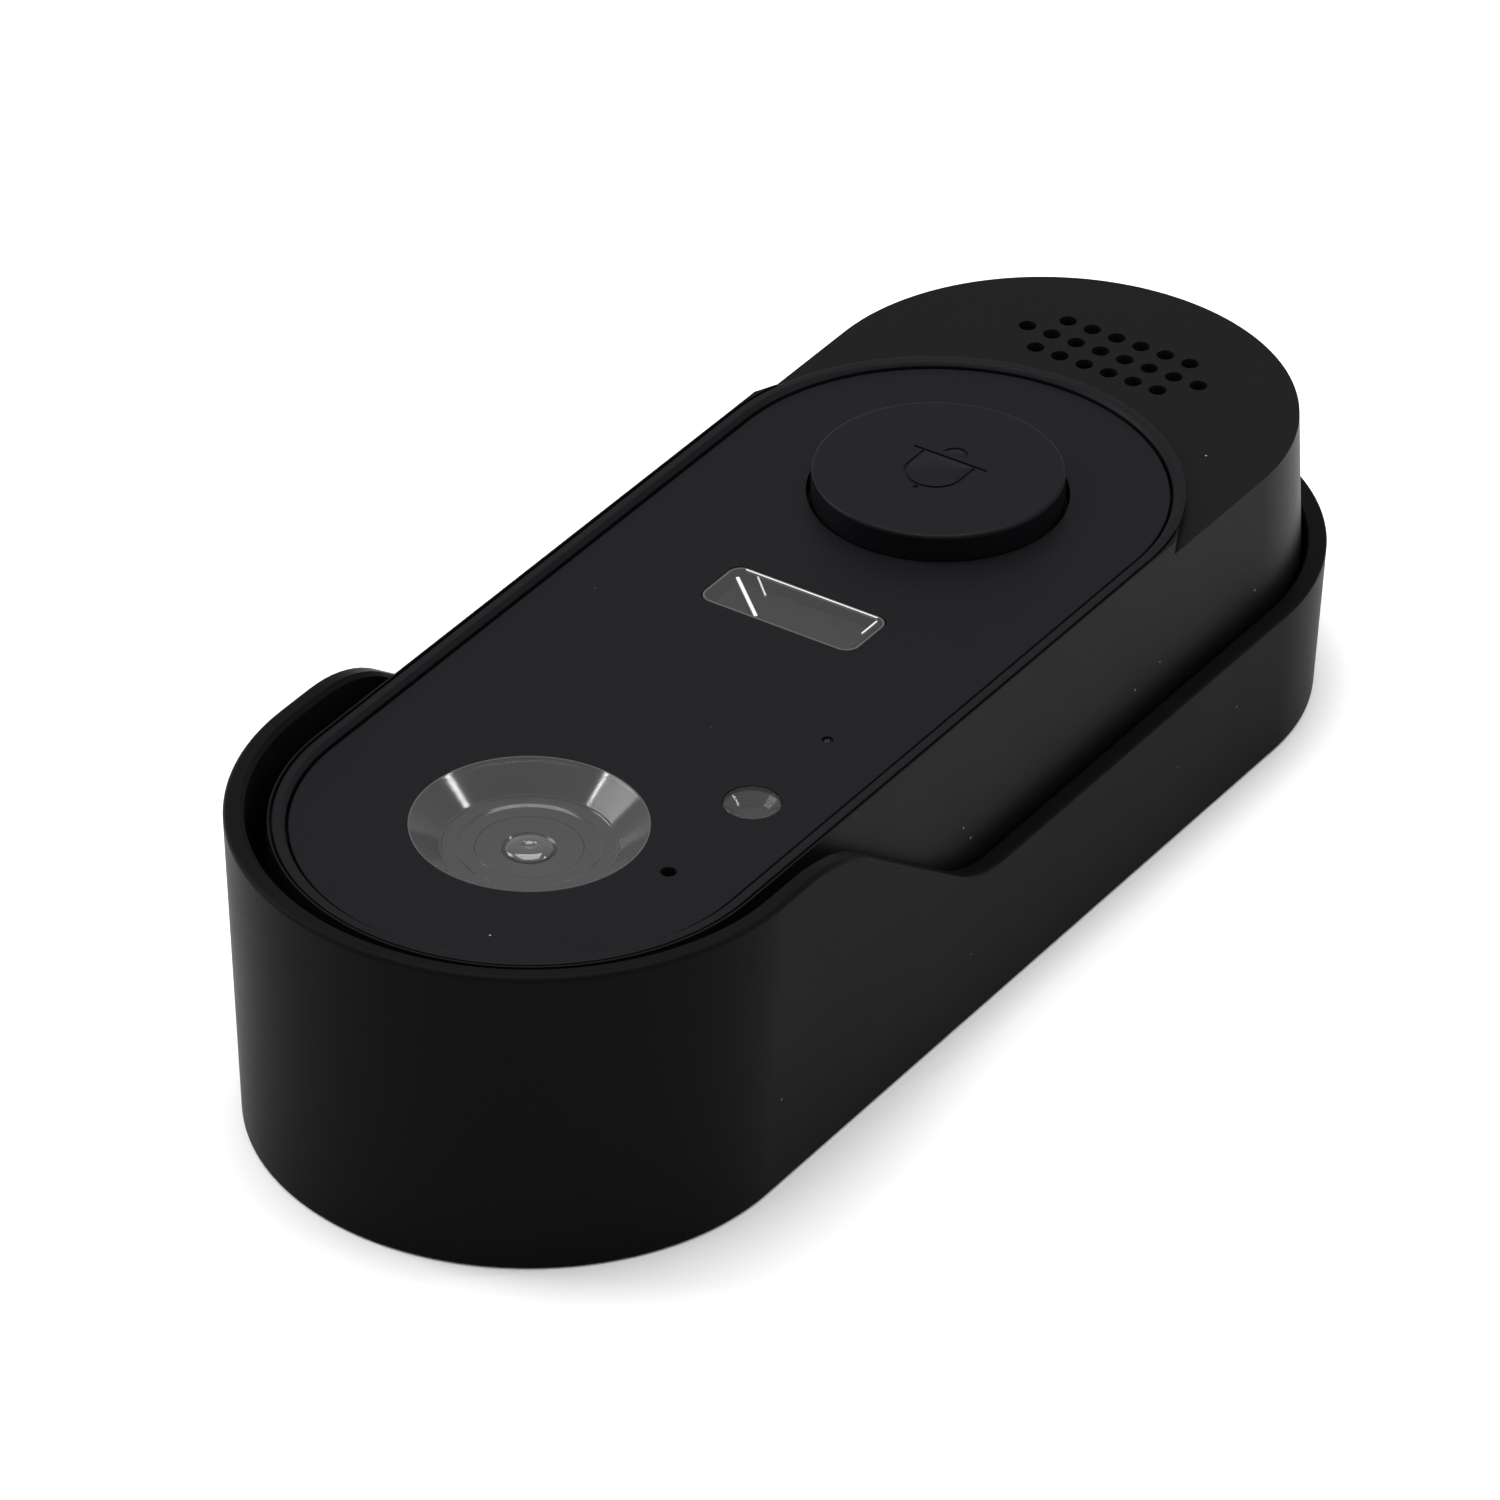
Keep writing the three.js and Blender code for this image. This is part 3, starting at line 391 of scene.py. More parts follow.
def moulded(name, colour, roughness, unevenness=0.1, spread=0.08, pitch=3000.0, depth=0.01,
            dust=0.04, rubbed_and_highlight=0.15, specular=0.2, metallic=0.0, dust_tone=0.18):
    finish = bpy.data.materials.new(name)
    finish.use_nodes = True
    tree = finish.node_tree
    shader = tree.nodes["Principled BSDF"]
    grain = placed(tree, GRAIN, Colour=(*colour, 1), Unevenness=unevenness, Roughness=roughness,
                   Spread=spread, Pitch=pitch)
    specks = placed(tree, DUST, Amount=dust)
    edges = placed(tree, WEAR_AND_HIGHLIGHT, Amount=rubbed_and_highlight)
    # Sharp edges are mixed towards a paler tone: rubbed wear and a painted edge highlight.
    paler = node(tree, "Mix", data_type="RGBA")
    paler.inputs[7].default_value = (*[min(1, 3 * c + 0.01) for c in colour], 1)
    wire(tree, edges.outputs["Mask"], paler.inputs[0])
    wire(tree, grain.outputs["Colour"], paler.inputs[6])
    dusty = node(tree, "Mix", data_type="RGBA")
    dusty.inputs[7].default_value = (dust_tone, dust_tone, dust_tone, 1)
    wire(tree, specks.outputs["Mask"], dusty.inputs[0])
    wire(tree, paler.outputs[2], dusty.inputs[6])
    wire(tree, dusty.outputs[2], shader.inputs["Base Color"])
    wire(tree, grain.outputs["Roughness"], shader.inputs["Roughness"])
    bump = node(tree, "Bump")
    bump.inputs["Strength"].default_value = 0.5
    bump.inputs["Distance"].default_value = depth * MM
    wire(tree, grain.outputs["Height"], bump.inputs["Height"])
    wire(tree, bump.outputs["Normal"], shader.inputs["Normal"])
    shader.inputs["Specular IOR Level"].default_value = specular
    shader.inputs["Metallic"].default_value = metallic
    return finish


# %% Opaque finishes
FINISH = {
    "black_plastic": moulded("Casing black", (0.004, 0.0041, 0.0044), 0.4, specular=0.04,
                             rubbed_and_highlight=0.0),
    "face_plastic": moulded("Face black", (0.0045, 0.0047, 0.0056), 0.42, specular=0.05,
                            rubbed_and_highlight=0.0),
    "button_plastic": moulded("Button black", (0.0045, 0.0047, 0.0056), 0.4, specular=0.055,
                              dust=0.02, rubbed_and_highlight=0.0),
    "funnel_grey": moulded("Funnel grey", (0.036, 0.036, 0.038), 0.12, unevenness=0.03, spread=0.01,
                           depth=0.0001, rubbed_and_highlight=0.0, specular=0.5, dust=0.0),
    "black_rubber": moulded("Rubber", (0.008, 0.008, 0.008), 0.7, spread=0.12, pitch=1500.0,
                            depth=0.02, specular=0.3),
    "circuit_board": moulded("Circuit board", (0.012, 0.07, 0.035), 0.38, unevenness=0.5,
                             pitch=900.0, specular=0.5),
    "chip_black": moulded("Chip resin", (0.014, 0.014, 0.015), 0.55, specular=0.3),
    "steel": moulded("Plated steel", (0.55, 0.56, 0.58), 0.3, metallic=1.0, pitch=5000.0,
                     specular=0.5, dust_tone=0.4),
    "foil": moulded("Battery foil", (0.5, 0.52, 0.55), 0.38, metallic=0.8, pitch=700.0,
                    specular=0.5, dust_tone=0.4),
    # The speaker mesh is partly its own grey, partly lightened as a painted highlight for glints in
    # the grille holes.
    "mesh_cloth": moulded("Speaker mesh lightened for glints", (0.06, 0.06, 0.06), 0.6, pitch=2200.0, depth=0.08,
                          specular=0.4),
}
FINISH["tray_plastic"] = moulded("Tray black", (0.0039, 0.0039, 0.0041), 0.4, specular=0.017,
                                 rubbed_and_highlight=0.0)
FINISH["window_frame"] = moulded("Grey frame", (0.03, 0.03, 0.031), 0.4, depth=0.0005,
                                 specular=0.1, dust=0.0)
# A near-white finish for the strips that are painted reflections on the motion window.
FINISH["painted_reflection_white"] = moulded("Painted reflection", (0.5, 0.5, 0.5), 0.3, depth=0.0005,
                              specular=0.5, dust=0.0)
# A paler copy of the milky window's tone: painted light on the rim's wall.
FINISH["rim_painted_lit"] = moulded("Rim painted lit", (0.055, 0.055, 0.056), 0.3, depth=0.0005, specular=0.15,
                             dust=0.0)
print("opaque finishes", len(FINISH))


# %% [markdown]
# Four finishes let light in: the camera window, the lens, the milky motion window and the small
# light pipes. Each is a Principled shader with a plain Alpha, and the same grain group gives it
# the faint smears and unevenness of a real moulding.

# %% Finishes that let light in
def see_through(name, colour, roughness, transmission, alpha=1.0, specular=0.5, coat=0.0,
                unevenness=0.05, spread=0.03, pitch=400.0):
    finish = bpy.data.materials.new(name)
    finish.use_nodes = True
    tree = finish.node_tree
    shader = tree.nodes["Principled BSDF"]
    grain = placed(tree, GRAIN, Colour=(*colour, 1), Unevenness=unevenness, Roughness=roughness,
                   Spread=spread, Pitch=pitch)
    wire(tree, grain.outputs["Colour"], shader.inputs["Base Color"])
    wire(tree, grain.outputs["Roughness"], shader.inputs["Roughness"])
    shader.inputs["Transmission Weight"].default_value = transmission
    shader.inputs["Alpha"].default_value = alpha
    shader.inputs["Specular IOR Level"].default_value = specular
    shader.inputs["Coat Weight"].default_value = coat
    return finish


FINISH["camera_glass"] = see_through("Camera window", (0.05, 0.05, 0.053), 0.03, 0.0, 0.1)
FINISH["lens_glass"] = see_through("Lens glass", (0.05, 0.05, 0.053), 0.06, 0.0, coat=1.0)
FINISH["milky_window"] = see_through("Milky window", (0.041, 0.041, 0.042), 0.3, 0.0, 0.6,
                                     specular=0.2, unevenness=0.15)
FINISH["light_pipe"] = see_through("Light pipe", (0.04, 0.04, 0.042), 0.1, 0.0, 0.25)
print("finishes", len(FINISH))


# %% Putting a finished piece in its place
def fitted(piece, slot, body, *stands_for, look=None):
    piece.data.materials.clear()
    piece.data.materials.append(FINISH[look or slot])
    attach(piece, body)
    if stands_for:
        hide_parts(*stands_for)
    box = [round(v / MM, 2) for v in Vector(piece.dimensions)]
    print(piece.name, box, "mm", len(piece.data.polygons), "faces, open edges",
          open_edges(piece))
    return piece


# %% [markdown]
# ## Wall tray and rain hood
# The tray is one moulding: a floor and a wall that leans out a little. The wall is high round
# the camera end, where it is the rain hood, and falls in an S down the sides to a low wall. The
# outline of floor and wall is spun round the far end, drawn along the side in steps, and spun
# round the near end. At each step on the side the top rows are pulled down, which keeps the
# rounded edge whole all the way.

# %% How high the wall is
LOW_TOP = 14.4 * MM
HOOD_TOP = 29.8 * MM
HOOD_FLAT = 4 * MM
SHOULDER, FOOT = 15.7 * MM, 13 * MM
SLOPE = radians(35)
DRAFT = 0.0407
WALL = 1.75 * MM
FLOOR = 2 * MM

drop = HOOD_TOP - LOW_TOP - (SHOULDER + FOOT) * (1 - cos(SLOPE))
straight = drop / tan(SLOPE)
foot_down = HOOD_FLAT + (SHOULDER + FOOT) * sin(SLOPE) + straight


def wall_top(y):
    down = FAR - y
    if down <= HOOD_FLAT:
        return HOOD_TOP
    if down <= HOOD_FLAT + SHOULDER * sin(SLOPE):
        along = down - HOOD_FLAT
        return HOOD_TOP - SHOULDER + (SHOULDER ** 2 - along ** 2) ** 0.5
    if down >= foot_down:
        return LOW_TOP
    if down >= foot_down - FOOT * sin(SLOPE):
        along = foot_down - down
        return LOW_TOP + FOOT - (FOOT ** 2 - along ** 2) ** 0.5
    past = down - HOOD_FLAT - SHOULDER * sin(SLOPE)
    return HOOD_TOP - SHOULDER * (1 - cos(SLOPE)) - past * tan(SLOPE)


def side_stops(count=9):
    first = [HOOD_FLAT + SHOULDER * sin(SLOPE * i / count) for i in range(count + 1)]
    last = [foot_down - FOOT * sin(SLOPE * (count - i) / count) for i in range(count + 1)]
    return [FAR - down for down in (*first, *last)]


# %% Pulling the wall's top down
HOOD_EDGE, LOW_EDGE = 0.5 * MM, 0.22 * MM
outer_at = lambda z: HOOD_R + DRAFT * (z - HOOD_TOP)
inner_at = lambda z: outer_at(z) - WALL


def edge_share(y):
    return (LOW_EDGE + (HOOD_EDGE - LOW_EDGE) * (wall_top(y) - LOW_TOP) / (HOOD_TOP - LOW_TOP))


def lower_wall(here, there):
    fall, top = wall_top(here) - wall_top(there), wall_top(there)
    if fall > TINY:
        pick("VERT", lambda p: abs(p.y - there) < TINY and p.z > 5 * FLOOR)
        bpy.ops.transform.translate(value=(-DRAFT * fall, 0, -fall))
        share = edge_share(there) / edge_share(here)
        middle_x = (outer_at(top) + inner_at(top)) / 2
        for corner, side in ((outer_at(top), 1), (inner_at(top), -1)):
            pick("VERT", lambda p: abs(p.y - there) < TINY and p.z > 5 * FLOOR
                 and (p.x - middle_x) * side > 0)
            bpy.ops.transform.resize(value=(share, 1, share), center_override=(corner, there, top))
    pick("VERT", lambda p: abs(p.y - there) < TINY)


# %% The tray's moulding
FOOT_EDGE = 0.35 * MM
tray_outline = [
    (0, 0),
    *bend(outer_at(0) - FOOT_EDGE, FOOT_EDGE, FOOT_EDGE, -90, 0, 4),
    *bend(HOOD_R - HOOD_EDGE, HOOD_TOP - HOOD_EDGE, HOOD_EDGE, 0, 90, 7),
    (inner_at(HOOD_TOP) + 0.4 * MM, HOOD_TOP),
    (inner_at(HOOD_TOP), HOOD_TOP - 0.4 * MM),
    (inner_at(FLOOR), FLOOR + 0.6 * MM),
    (inner_at(FLOOR) - 0.6 * MM, FLOOR),
    (0, FLOOR),
]
tray = carried("tray_with_hood", tray_outline, FAR, UNIT_NEAR, side_stops(), lower_wall)
pitch = FAR - UNIT_NEAR
for number, share in enumerate((0.06, 0.94)):
    y = FAR - share * pitch
    carve(tray, slab("slot", (4.6 * MM, 9 * MM), 2.25 * MM, -MM, 3 * MM, 0, y),
          slab("seat", (9.4 * MM, 13.8 * MM), 4.65 * MM, MM, 3 * MM, 0, y))
carve(tray, slab("wire way", (22 * MM, 16 * MM), 3 * MM, -MM, 3 * MM, 0, FAR - pitch / 2))
softened(tray, 0)
fitted(tray, "black_plastic", "bracket", "mount_bracket", look="tray_plastic")

# %% [markdown]
# ## Housing of the camera unit
# The housing is a deep shell with a thin lip round the face, a seat for the bezel ring, and a
# lower terrace for the speaker at the near end. The shell is spun and drawn like the tray. The
# seats, the terrace and the openings are then cut with solids of their own shapes, which keeps
# each of their edges crisp, and all edges are softened at the end.

# %% The housing's shell
BELT_Z = 13.4 * MM
LIP_R = RING_R + 0.38 * MM
CAVITY_R = LIP_R - 1.6 * MM
DECK_Z = 24 * MM
LEDGE_Z = ring_low.z
shell_outline = [
    (0, DECK_Z), (CAVITY_R, DECK_Z), (CAVITY_R, CASE_Z), (HEEL_R - 0.3 * MM, CASE_Z),
    (HEEL_R, CASE_Z + 0.3 * MM), (BELT_R - 0.05 * MM, BELT_Z - 1.2 * MM), (BELT_R, BELT_Z),
    (BELT_R - 0.05 * MM, BELT_Z + 1.2 * MM), (LIP_R, FACE_Z), (0, FACE_Z),
]
housing = carried("unit_housing", shell_outline, FAR, UNIT_NEAR)


SEAT_R = RING_R + 0.22 * MM
seats = carried("seats", [
    (0, DECK_TOP), (PANEL_R + 0.5 * MM, DECK_TOP), (PANEL_R + 0.5 * MM, LEDGE_Z),
    (SEAT_R, LEDGE_Z), (SEAT_R, FACE_Z + MM), (0, FACE_Z + MM),
], FAR, FACE_NEAR)
carve(housing, seats)
print("housing with its seats, open edges", open_edges(housing))

# %% [markdown]
# The terrace's step follows the round end of the face and then leaves it along two straight
# tangents. Half of its floor is drawn as an outline: a point is spun along the round end,
# then drawn along the tangent, out past the side and back. The half is mirrored and raised.

# %% The speaker terrace
TERRACE_Z = 27.3 * MM
LEAD = radians(23.5)


def terrace_cutter():
    nothing_selected()
    bpy.ops.mesh.primitive_plane_add(size=MM, enter_editmode=True, location=(0, 0, 0))
    piece = bpy.context.object
    bpy.ops.mesh.select_mode(type="VERT")
    bpy.ops.mesh.merge(type="CENTER")
    bpy.ops.transform.translate(value=(0, FACE_NEAR - RING_R, TERRACE_Z))
    centre = (0, FACE_NEAR, 0)
    bpy.ops.mesh.spin(steps=QUARTER, angle=LEAD - pi / 2, center=centre, axis=(0, 0, 1))
    out = LIP_R + 2 * MM
    run = (out - RING_R * cos(LEAD)) / tan(LEAD)
    beyond = UNIT_NEAR - BELT_R - MM
    y = FACE_NEAR - RING_R * sin(LEAD) + run
    for step in ((out - RING_R * cos(LEAD), run, 0), (0, beyond - y, 0), (-out, 0, 0)):
        bpy.ops.mesh.extrude_region_move(TRANSFORM_OT_translate={"value": step})
    bpy.ops.mesh.select_all(action="SELECT")
    bpy.ops.mesh.edge_face_add()
    mirrored(piece)
    bpy.ops.object.mode_set(mode="EDIT")
    bpy.ops.mesh.select_all(action="SELECT")
    bpy.ops.mesh.extrude_region_move(TRANSFORM_OT_translate={"value": (0, 0, 3 * MM)})
    tidy_mesh()
    return piece


carve(housing, terrace_cutter())
print("housing with its terrace, open edges", open_edges(housing))

# %% [markdown]
# The grille has twenty round holes in three rows, six, eight and six. One rod is modelled for
# each hole, and they are joined and cut in one go.

# %% Grille and openings in the deck
speaker = middle("speaker_mesh")
GRILLE_R = 0.8 * MM
holes = []
for row, count in ((-1, 6), (0, 8), (1, 6)):
    for column in range(count):
        x = (column - (count - 1) / 2) * 2.53 * MM
        y = speaker.y + row * 2.7 * MM
        holes.append(rod(GRILLE_R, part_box("speaker_mesh")[1].z - MM, TERRACE_Z + MM, x, y, 24))
carve(housing, rod(9.4 * MM, DECK_Z - MM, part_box("speaker_mesh")[1].z, 0, speaker.y))
carve(housing, joined(*holes))
camera_at, button_at = middle("camera_window"), middle("call_button")
pir_at, sensor_at = middle("pir_window"), middle("light_sensor_window")
mic_at, led_at = middle("mic_boot"), middle("status_light_pipe")
below, above = DECK_Z - MM, DECK_TOP + MM
carve(housing, rod(10.9 * MM, below, above, camera_at.x, camera_at.y),
      rod(12.6 * MM, below, above, button_at.x, button_at.y),
      slab("motion way", (16.8 * MM, 7.4 * MM), 1.3 * MM, below, above, pir_at.x, pir_at.y),
      rod(2.74 * MM, below, above, sensor_at.x, sensor_at.y, 48),
      rod(0.75 * MM, below, above, led_at.x, led_at.y, 24),
      rod(1.8 * MM, below, above, mic_at.x, mic_at.y, 32))

# %% The charging port's recess
port_low, port_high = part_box("port_cover")
port_size = (port_high.x - port_low.x + 0.6 * MM, port_high.z - port_low.z + 0.6 * MM)
port_floor = port_high.y - 1.2 * MM


def upright(name, size, corner, y_low, y_high, z):
    piece = slab(name, (size[0], size[1]), corner, y_low, y_high, 0, -z)
    only(piece)
    bpy.ops.object.mode_set(mode="EDIT")
    bpy.ops.mesh.select_all(action="SELECT")
    turn = Matrix.Rotation(radians(-90), 4, "X")
    piece.data.update()
    bpy.ops.object.mode_set(mode="OBJECT")
    piece.matrix_world = turn
    bpy.ops.object.transform_apply(location=True, rotation=True, scale=True)
    return piece


port_z = (port_low.z + port_high.z) / 2
recess = upright("port recess", port_size, 1.5 * MM, port_low.y - 2 * MM, port_floor, port_z)
carve(housing, recess)
print("housing before softening, open edges", open_edges(housing))
softened(housing, 0.05 * MM)
fitted(housing, "black_plastic", "unit", "side_housing")

# %% [markdown]
# ## Bezel ring
# A narrow ring frames the face. Its section is a small block with a rounded outer edge, which
# catches a thin line of light all the way round, and a sloping inner one that leads down to the
# panel.

# %% The ring
RING_IN = RING_R - 1.1 * MM
ring_outline = [
    (RING_IN, LEDGE_Z), (RING_R, LEDGE_Z),
    *bend(RING_R - 0.12 * MM, FACE_Z - 0.12 * MM, 0.12 * MM, 0, 90, 4),
    (RING_IN + 0.42 * MM, FACE_Z), (RING_IN + 0.36 * MM, FACE_Z - 0.02 * MM),
    (RING_IN, FACE_Z - 0.4 * MM), (RING_IN, LEDGE_Z),
]
ring = carried("bezel_ring_moulding", ring_outline, FAR, FACE_NEAR)
softened(ring, 0, angle=40)
fitted(ring, "face_plastic", "unit", "bezel_ring")

# %% [markdown]
# ## Front panel
# The panel lies half a millimetre below the ring. It is a plate with a softened rim, cut for the
# camera window, the motion window, the light sensor, the status light, the microphone and the
# call button.

# %% The panel
panel_outline = [
    (0, DECK_TOP), (PANEL_R, DECK_TOP),
    *bend(PANEL_R - 0.12 * MM, PANEL_Z - 0.12 * MM, 0.12 * MM, 0, 90, 3), (0, PANEL_Z),
]
panel = carried("face_panel", panel_outline, FAR, FACE_NEAR)
below, above = DECK_TOP - MM, PANEL_Z + MM
pir_low, pir_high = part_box("pir_window")
pir_size = (pir_high.x - pir_low.x, pir_high.y - pir_low.y)
CAMERA_R = (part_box("camera_window")[1].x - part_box("camera_window")[0].x) / 2
carve(panel, rod(CAMERA_R + 0.08 * MM, below, above, camera_at.x, camera_at.y),
      rod(11.4 * MM, below, above, button_at.x, button_at.y),
      slab("motion way", (pir_size[0] + 0.2 * MM, pir_size[1] + 0.2 * MM), 1.3 * MM, below,
           above, pir_at.x, pir_at.y),
      rod(2.5 * MM, below, above, sensor_at.x, sensor_at.y, 64),
      rod(0.5 * MM, below, above, led_at.x, led_at.y, 32),
      rod(0.7 * MM, below, above, mic_at.x, mic_at.y, 32))
softened(panel, 0.05 * MM)
fitted(panel, "face_plastic", "unit", "front_panel")

# %% [markdown]
# ## Camera
# Under a flat round window a glossy grey funnel leads down to the lens. Window, funnel, barrel
# and lens are all turned from outlines, because on the real camera they are turned shapes too.
# The funnel ends in a shelf with two fine rings, and the barrel's mouth is dished round a small
# domed lens.

# %% Camera window
window_low, window_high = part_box("camera_window")
WINDOW_T = 0.35 * MM
WINDOW_R = CAMERA_R - 0.2 * MM
window = turned("camera_window_glass", [
    (0, PANEL_Z - WINDOW_T), (WINDOW_R - 0.45 * MM, PANEL_Z - WINDOW_T),
    (WINDOW_R - 0.01 * MM, PANEL_Z - 0.06 * MM),
    *bend(WINDOW_R - 0.04 * MM, PANEL_Z - 0.04 * MM, 0.04 * MM, 0, 90, 3), (0, PANEL_Z),
], camera_at.x, camera_at.y)
softened(window, 0, angle=50)
fitted(window, "camera_glass", "unit", "camera_window")

# %% Funnel
funnel_low, funnel_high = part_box("camera_funnel")
shelf_z = funnel_high.z - 0.45 * MM
NECK_R = 4.55 * MM
funnel = turned("camera_funnel_moulding", [
    (CAMERA_R + 0.03 * MM, PANEL_Z - 0.01 * MM), (CAMERA_R - 0.14 * MM, PANEL_Z - 0.01 * MM),
    (7.45 * MM, shelf_z + 0.12 * MM), (7.3 * MM, shelf_z + 0.1 * MM), (7.2 * MM, shelf_z),
    (6.15 * MM, shelf_z), (6.0 * MM, shelf_z - 0.08 * MM), (5.85 * MM, shelf_z - 0.14 * MM),
    (NECK_R, shelf_z - 0.17 * MM), (NECK_R, funnel_low.z), (NECK_R + 1.5 * MM, funnel_low.z),
    (NECK_R + 1.5 * MM, shelf_z - 0.8 * MM), (8 * MM, shelf_z - 0.6 * MM),
    (CAMERA_R + 0.03 * MM, shelf_z - 0.4 * MM), (CAMERA_R + 0.03 * MM, PANEL_Z - 0.01 * MM),
], camera_at.x, camera_at.y)
softened(funnel, 0, angle=12)
fitted(funnel, "funnel_grey", "unit", "camera_funnel")

# %% Lens barrel and lens
barrel_low, barrel_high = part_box("lens_barrel")
lens_low, lens_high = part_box("lens_element")
LENS_R = (lens_high.x - lens_low.x) / 2
mouth_z = shelf_z - 0.17 * MM
barrel = turned("lens_barrel_turned", [
    (0, barrel_low.z), (6.2 * MM, barrel_low.z), (6.2 * MM, barrel_high.z - 4.2 * MM),
    (4.53 * MM, barrel_high.z - 4 * MM), (4.53 * MM, mouth_z - 0.03 * MM),
    (4.5 * MM, mouth_z), (4.0 * MM, mouth_z - 0.02 * MM),
    (LENS_R + 0.3 * MM, mouth_z - 0.12 * MM), (LENS_R + 0.1 * MM, mouth_z - 0.3 * MM),
    (0, mouth_z - 0.3 * MM),
], camera_at.x, camera_at.y)
softened(barrel, 0, angle=20)
fitted(barrel, "funnel_grey", "unit", "lens_barrel")
rise = 0.5 * MM
lens_foot = mouth_z - 0.25 * MM
lens = turned("lens_dome", [
    (0, lens_foot), (LENS_R, lens_foot),
    *[(0.7 * MM + (LENS_R - 0.7 * MM) * cos(radians(a)), lens_foot + rise * sin(radians(a)))
      for a in range(10, 90, 10)],
    (0.7 * MM, lens_foot + rise), (0.6 * MM, lens_foot + rise - 0.12 * MM),
    (0, lens_foot + rise - 0.16 * MM),
], camera_at.x, camera_at.y)
softened(lens, 0, angle=50)
fitted(lens, "lens_glass", "unit", "lens_element")

# %% [markdown]
# ## Motion window
# A milky moulded cup with a flat top. It is a rounded block with a rolled top edge, hollowed
# from below. A rim, the wall of the same moulding seen from the side, stands round it; it is
# given a paler copy of the milky finish as painted light on that wall.

# %% The motion window
RIM_T = 0.22 * MM
cup_size = (pir_size[0] - 2 * RIM_T, pir_size[1] - 2 * RIM_T)
motion = slab("motion_window_cup", cup_size, 1.1 * MM, pir_high.z - 1.8 * MM, pir_high.z,
              pir_at.x, pir_at.y, 8)
carve(motion, slab("hollow", (cup_size[0] - 1.6 * MM, cup_size[1] - 1.6 * MM), 0.7 * MM,
                   pir_low.z - MM, pir_high.z - 0.8 * MM, pir_at.x, pir_at.y))
softened(motion, 0.05 * MM, 2)
fitted(motion, "milky_window", "unit", "pir_window")

# %% [markdown]
# The rim is a block hollowed from above, so that a thin wall stands round the cup and a floor
# closes it from below.

# %% The frame of the motion window
inner = slab("motion_window_frame", pir_size, 1.3 * MM, pir_low.z, pir_high.z - 0.02 * MM,
             pir_at.x, pir_at.y, 8)
well = slab("well", (cup_size[0] + 0.02 * MM, cup_size[1] + 0.02 * MM), 1.1 * MM,
            pir_high.z - 1.85 * MM, pir_high.z + MM, pir_at.x, pir_at.y, 8)
carve(inner, well)
softened(inner, 0)
# The rim wears a paler copy of the milky finish, which is painted light.
fitted(inner, "milky_window", "unit", look="rim_painted_lit")

# %% [markdown]
# Pale strips lie in the window's face: two slanted ones near one end, a short one at the other
# and a line along the far edge. What they are on the real doorbell is not known. They are painted
# reflections: bright streaks of light on the window given as pale blocks. Each is a slim rounded
# block, turned to its slant and let flush into the cup's top.

# %% Painted reflections in the motion window
def painted_reflection_block(x, y, width, length, slant):
    reflection_block = slab("painted_reflection_block", (width, length), 0.08 * MM, pir_high.z - 0.2 * MM,
                 pir_high.z + 0.015 * MM, x, y, 2)
    only(reflection_block)
    bpy.ops.object.mode_set(mode="EDIT")
    bpy.ops.mesh.select_all(action="SELECT")
    bpy.ops.transform.rotate(value=radians(-slant), orient_axis="Z", center_override=(x, y, 0))
    bpy.ops.object.mode_set(mode="OBJECT")
    return reflection_block


painted_reflection_strips = joined(painted_reflection_block(pir_at.x + 4.3 * MM, pir_at.y + 0.7 * MM, 0.32 * MM, 6.3 * MM, 48),
              painted_reflection_block(pir_at.x + 4.15 * MM, pir_at.y - 1.4 * MM, 0.14 * MM, 3.1 * MM, 46),
              painted_reflection_block(pir_at.x - 6.9 * MM, pir_at.y - 1.2 * MM, 0.16 * MM, 2.4 * MM, 0),
              painted_reflection_block(pir_at.x, pir_at.y - 2.82 * MM, 13.4 * MM, 0.16 * MM, 0))
painted_reflection_strips.name = painted_reflection_strips.data.name = "motion_window_painted_reflections"
softened(painted_reflection_strips, 0)
fitted(painted_reflection_strips, "milky_window", "unit", look="painted_reflection_white")

# %% [markdown]
# ## Light sensor window and status light
# Both are small turned plugs of clear plastic. The sensor's has a hollow foot over the sensor,
# and the light pipe is a thin rod with a domed end.

# %% The two small plugs
sensor_low, sensor_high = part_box("light_sensor_window")
SENSOR_R = (sensor_high.x - sensor_low.x) / 2
plug = turned("light_sensor_plug", [
    (0, PANEL_Z - 0.4 * MM), (SENSOR_R, PANEL_Z - 0.4 * MM),
    *bend(SENSOR_R - 0.1 * MM, PANEL_Z - 0.1 * MM, 0.1 * MM, 0, 90, 3), (0, PANEL_Z),
], sensor_at.x, sensor_at.y, 16)
softened(plug, 0, angle=50)
fitted(plug, "light_pipe", "unit", "light_sensor_window")
cone_top = PANEL_Z - 0.43 * MM
cone = turned("light_sensor_cone", [
    (0, sensor_low.z), (SENSOR_R, sensor_low.z), (SENSOR_R, cone_top),
    (SENSOR_R - 0.1 * MM, cone_top), (1.5 * MM, cone_top - 0.7 * MM),
    (0, cone_top - 0.75 * MM),
], sensor_at.x, sensor_at.y, 16)
softened(cone, 0, angle=25)
fitted(cone, "light_pipe", "unit", look="funnel_grey")
led_low, led_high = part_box("status_light_pipe")
pipe = turned("status_light_pin", [
    (0, led_low.z), (0.35 * MM, led_low.z), (0.44 * MM, led_low.z + 0.2 * MM),
    *bend(0, led_high.z - 0.44 * MM, 0.44 * MM, 0, 90, 6),
], led_at.x, led_at.y, 8)
softened(pipe, 0, angle=50)
fitted(pipe, "light_pipe", "unit", "status_light_pipe")

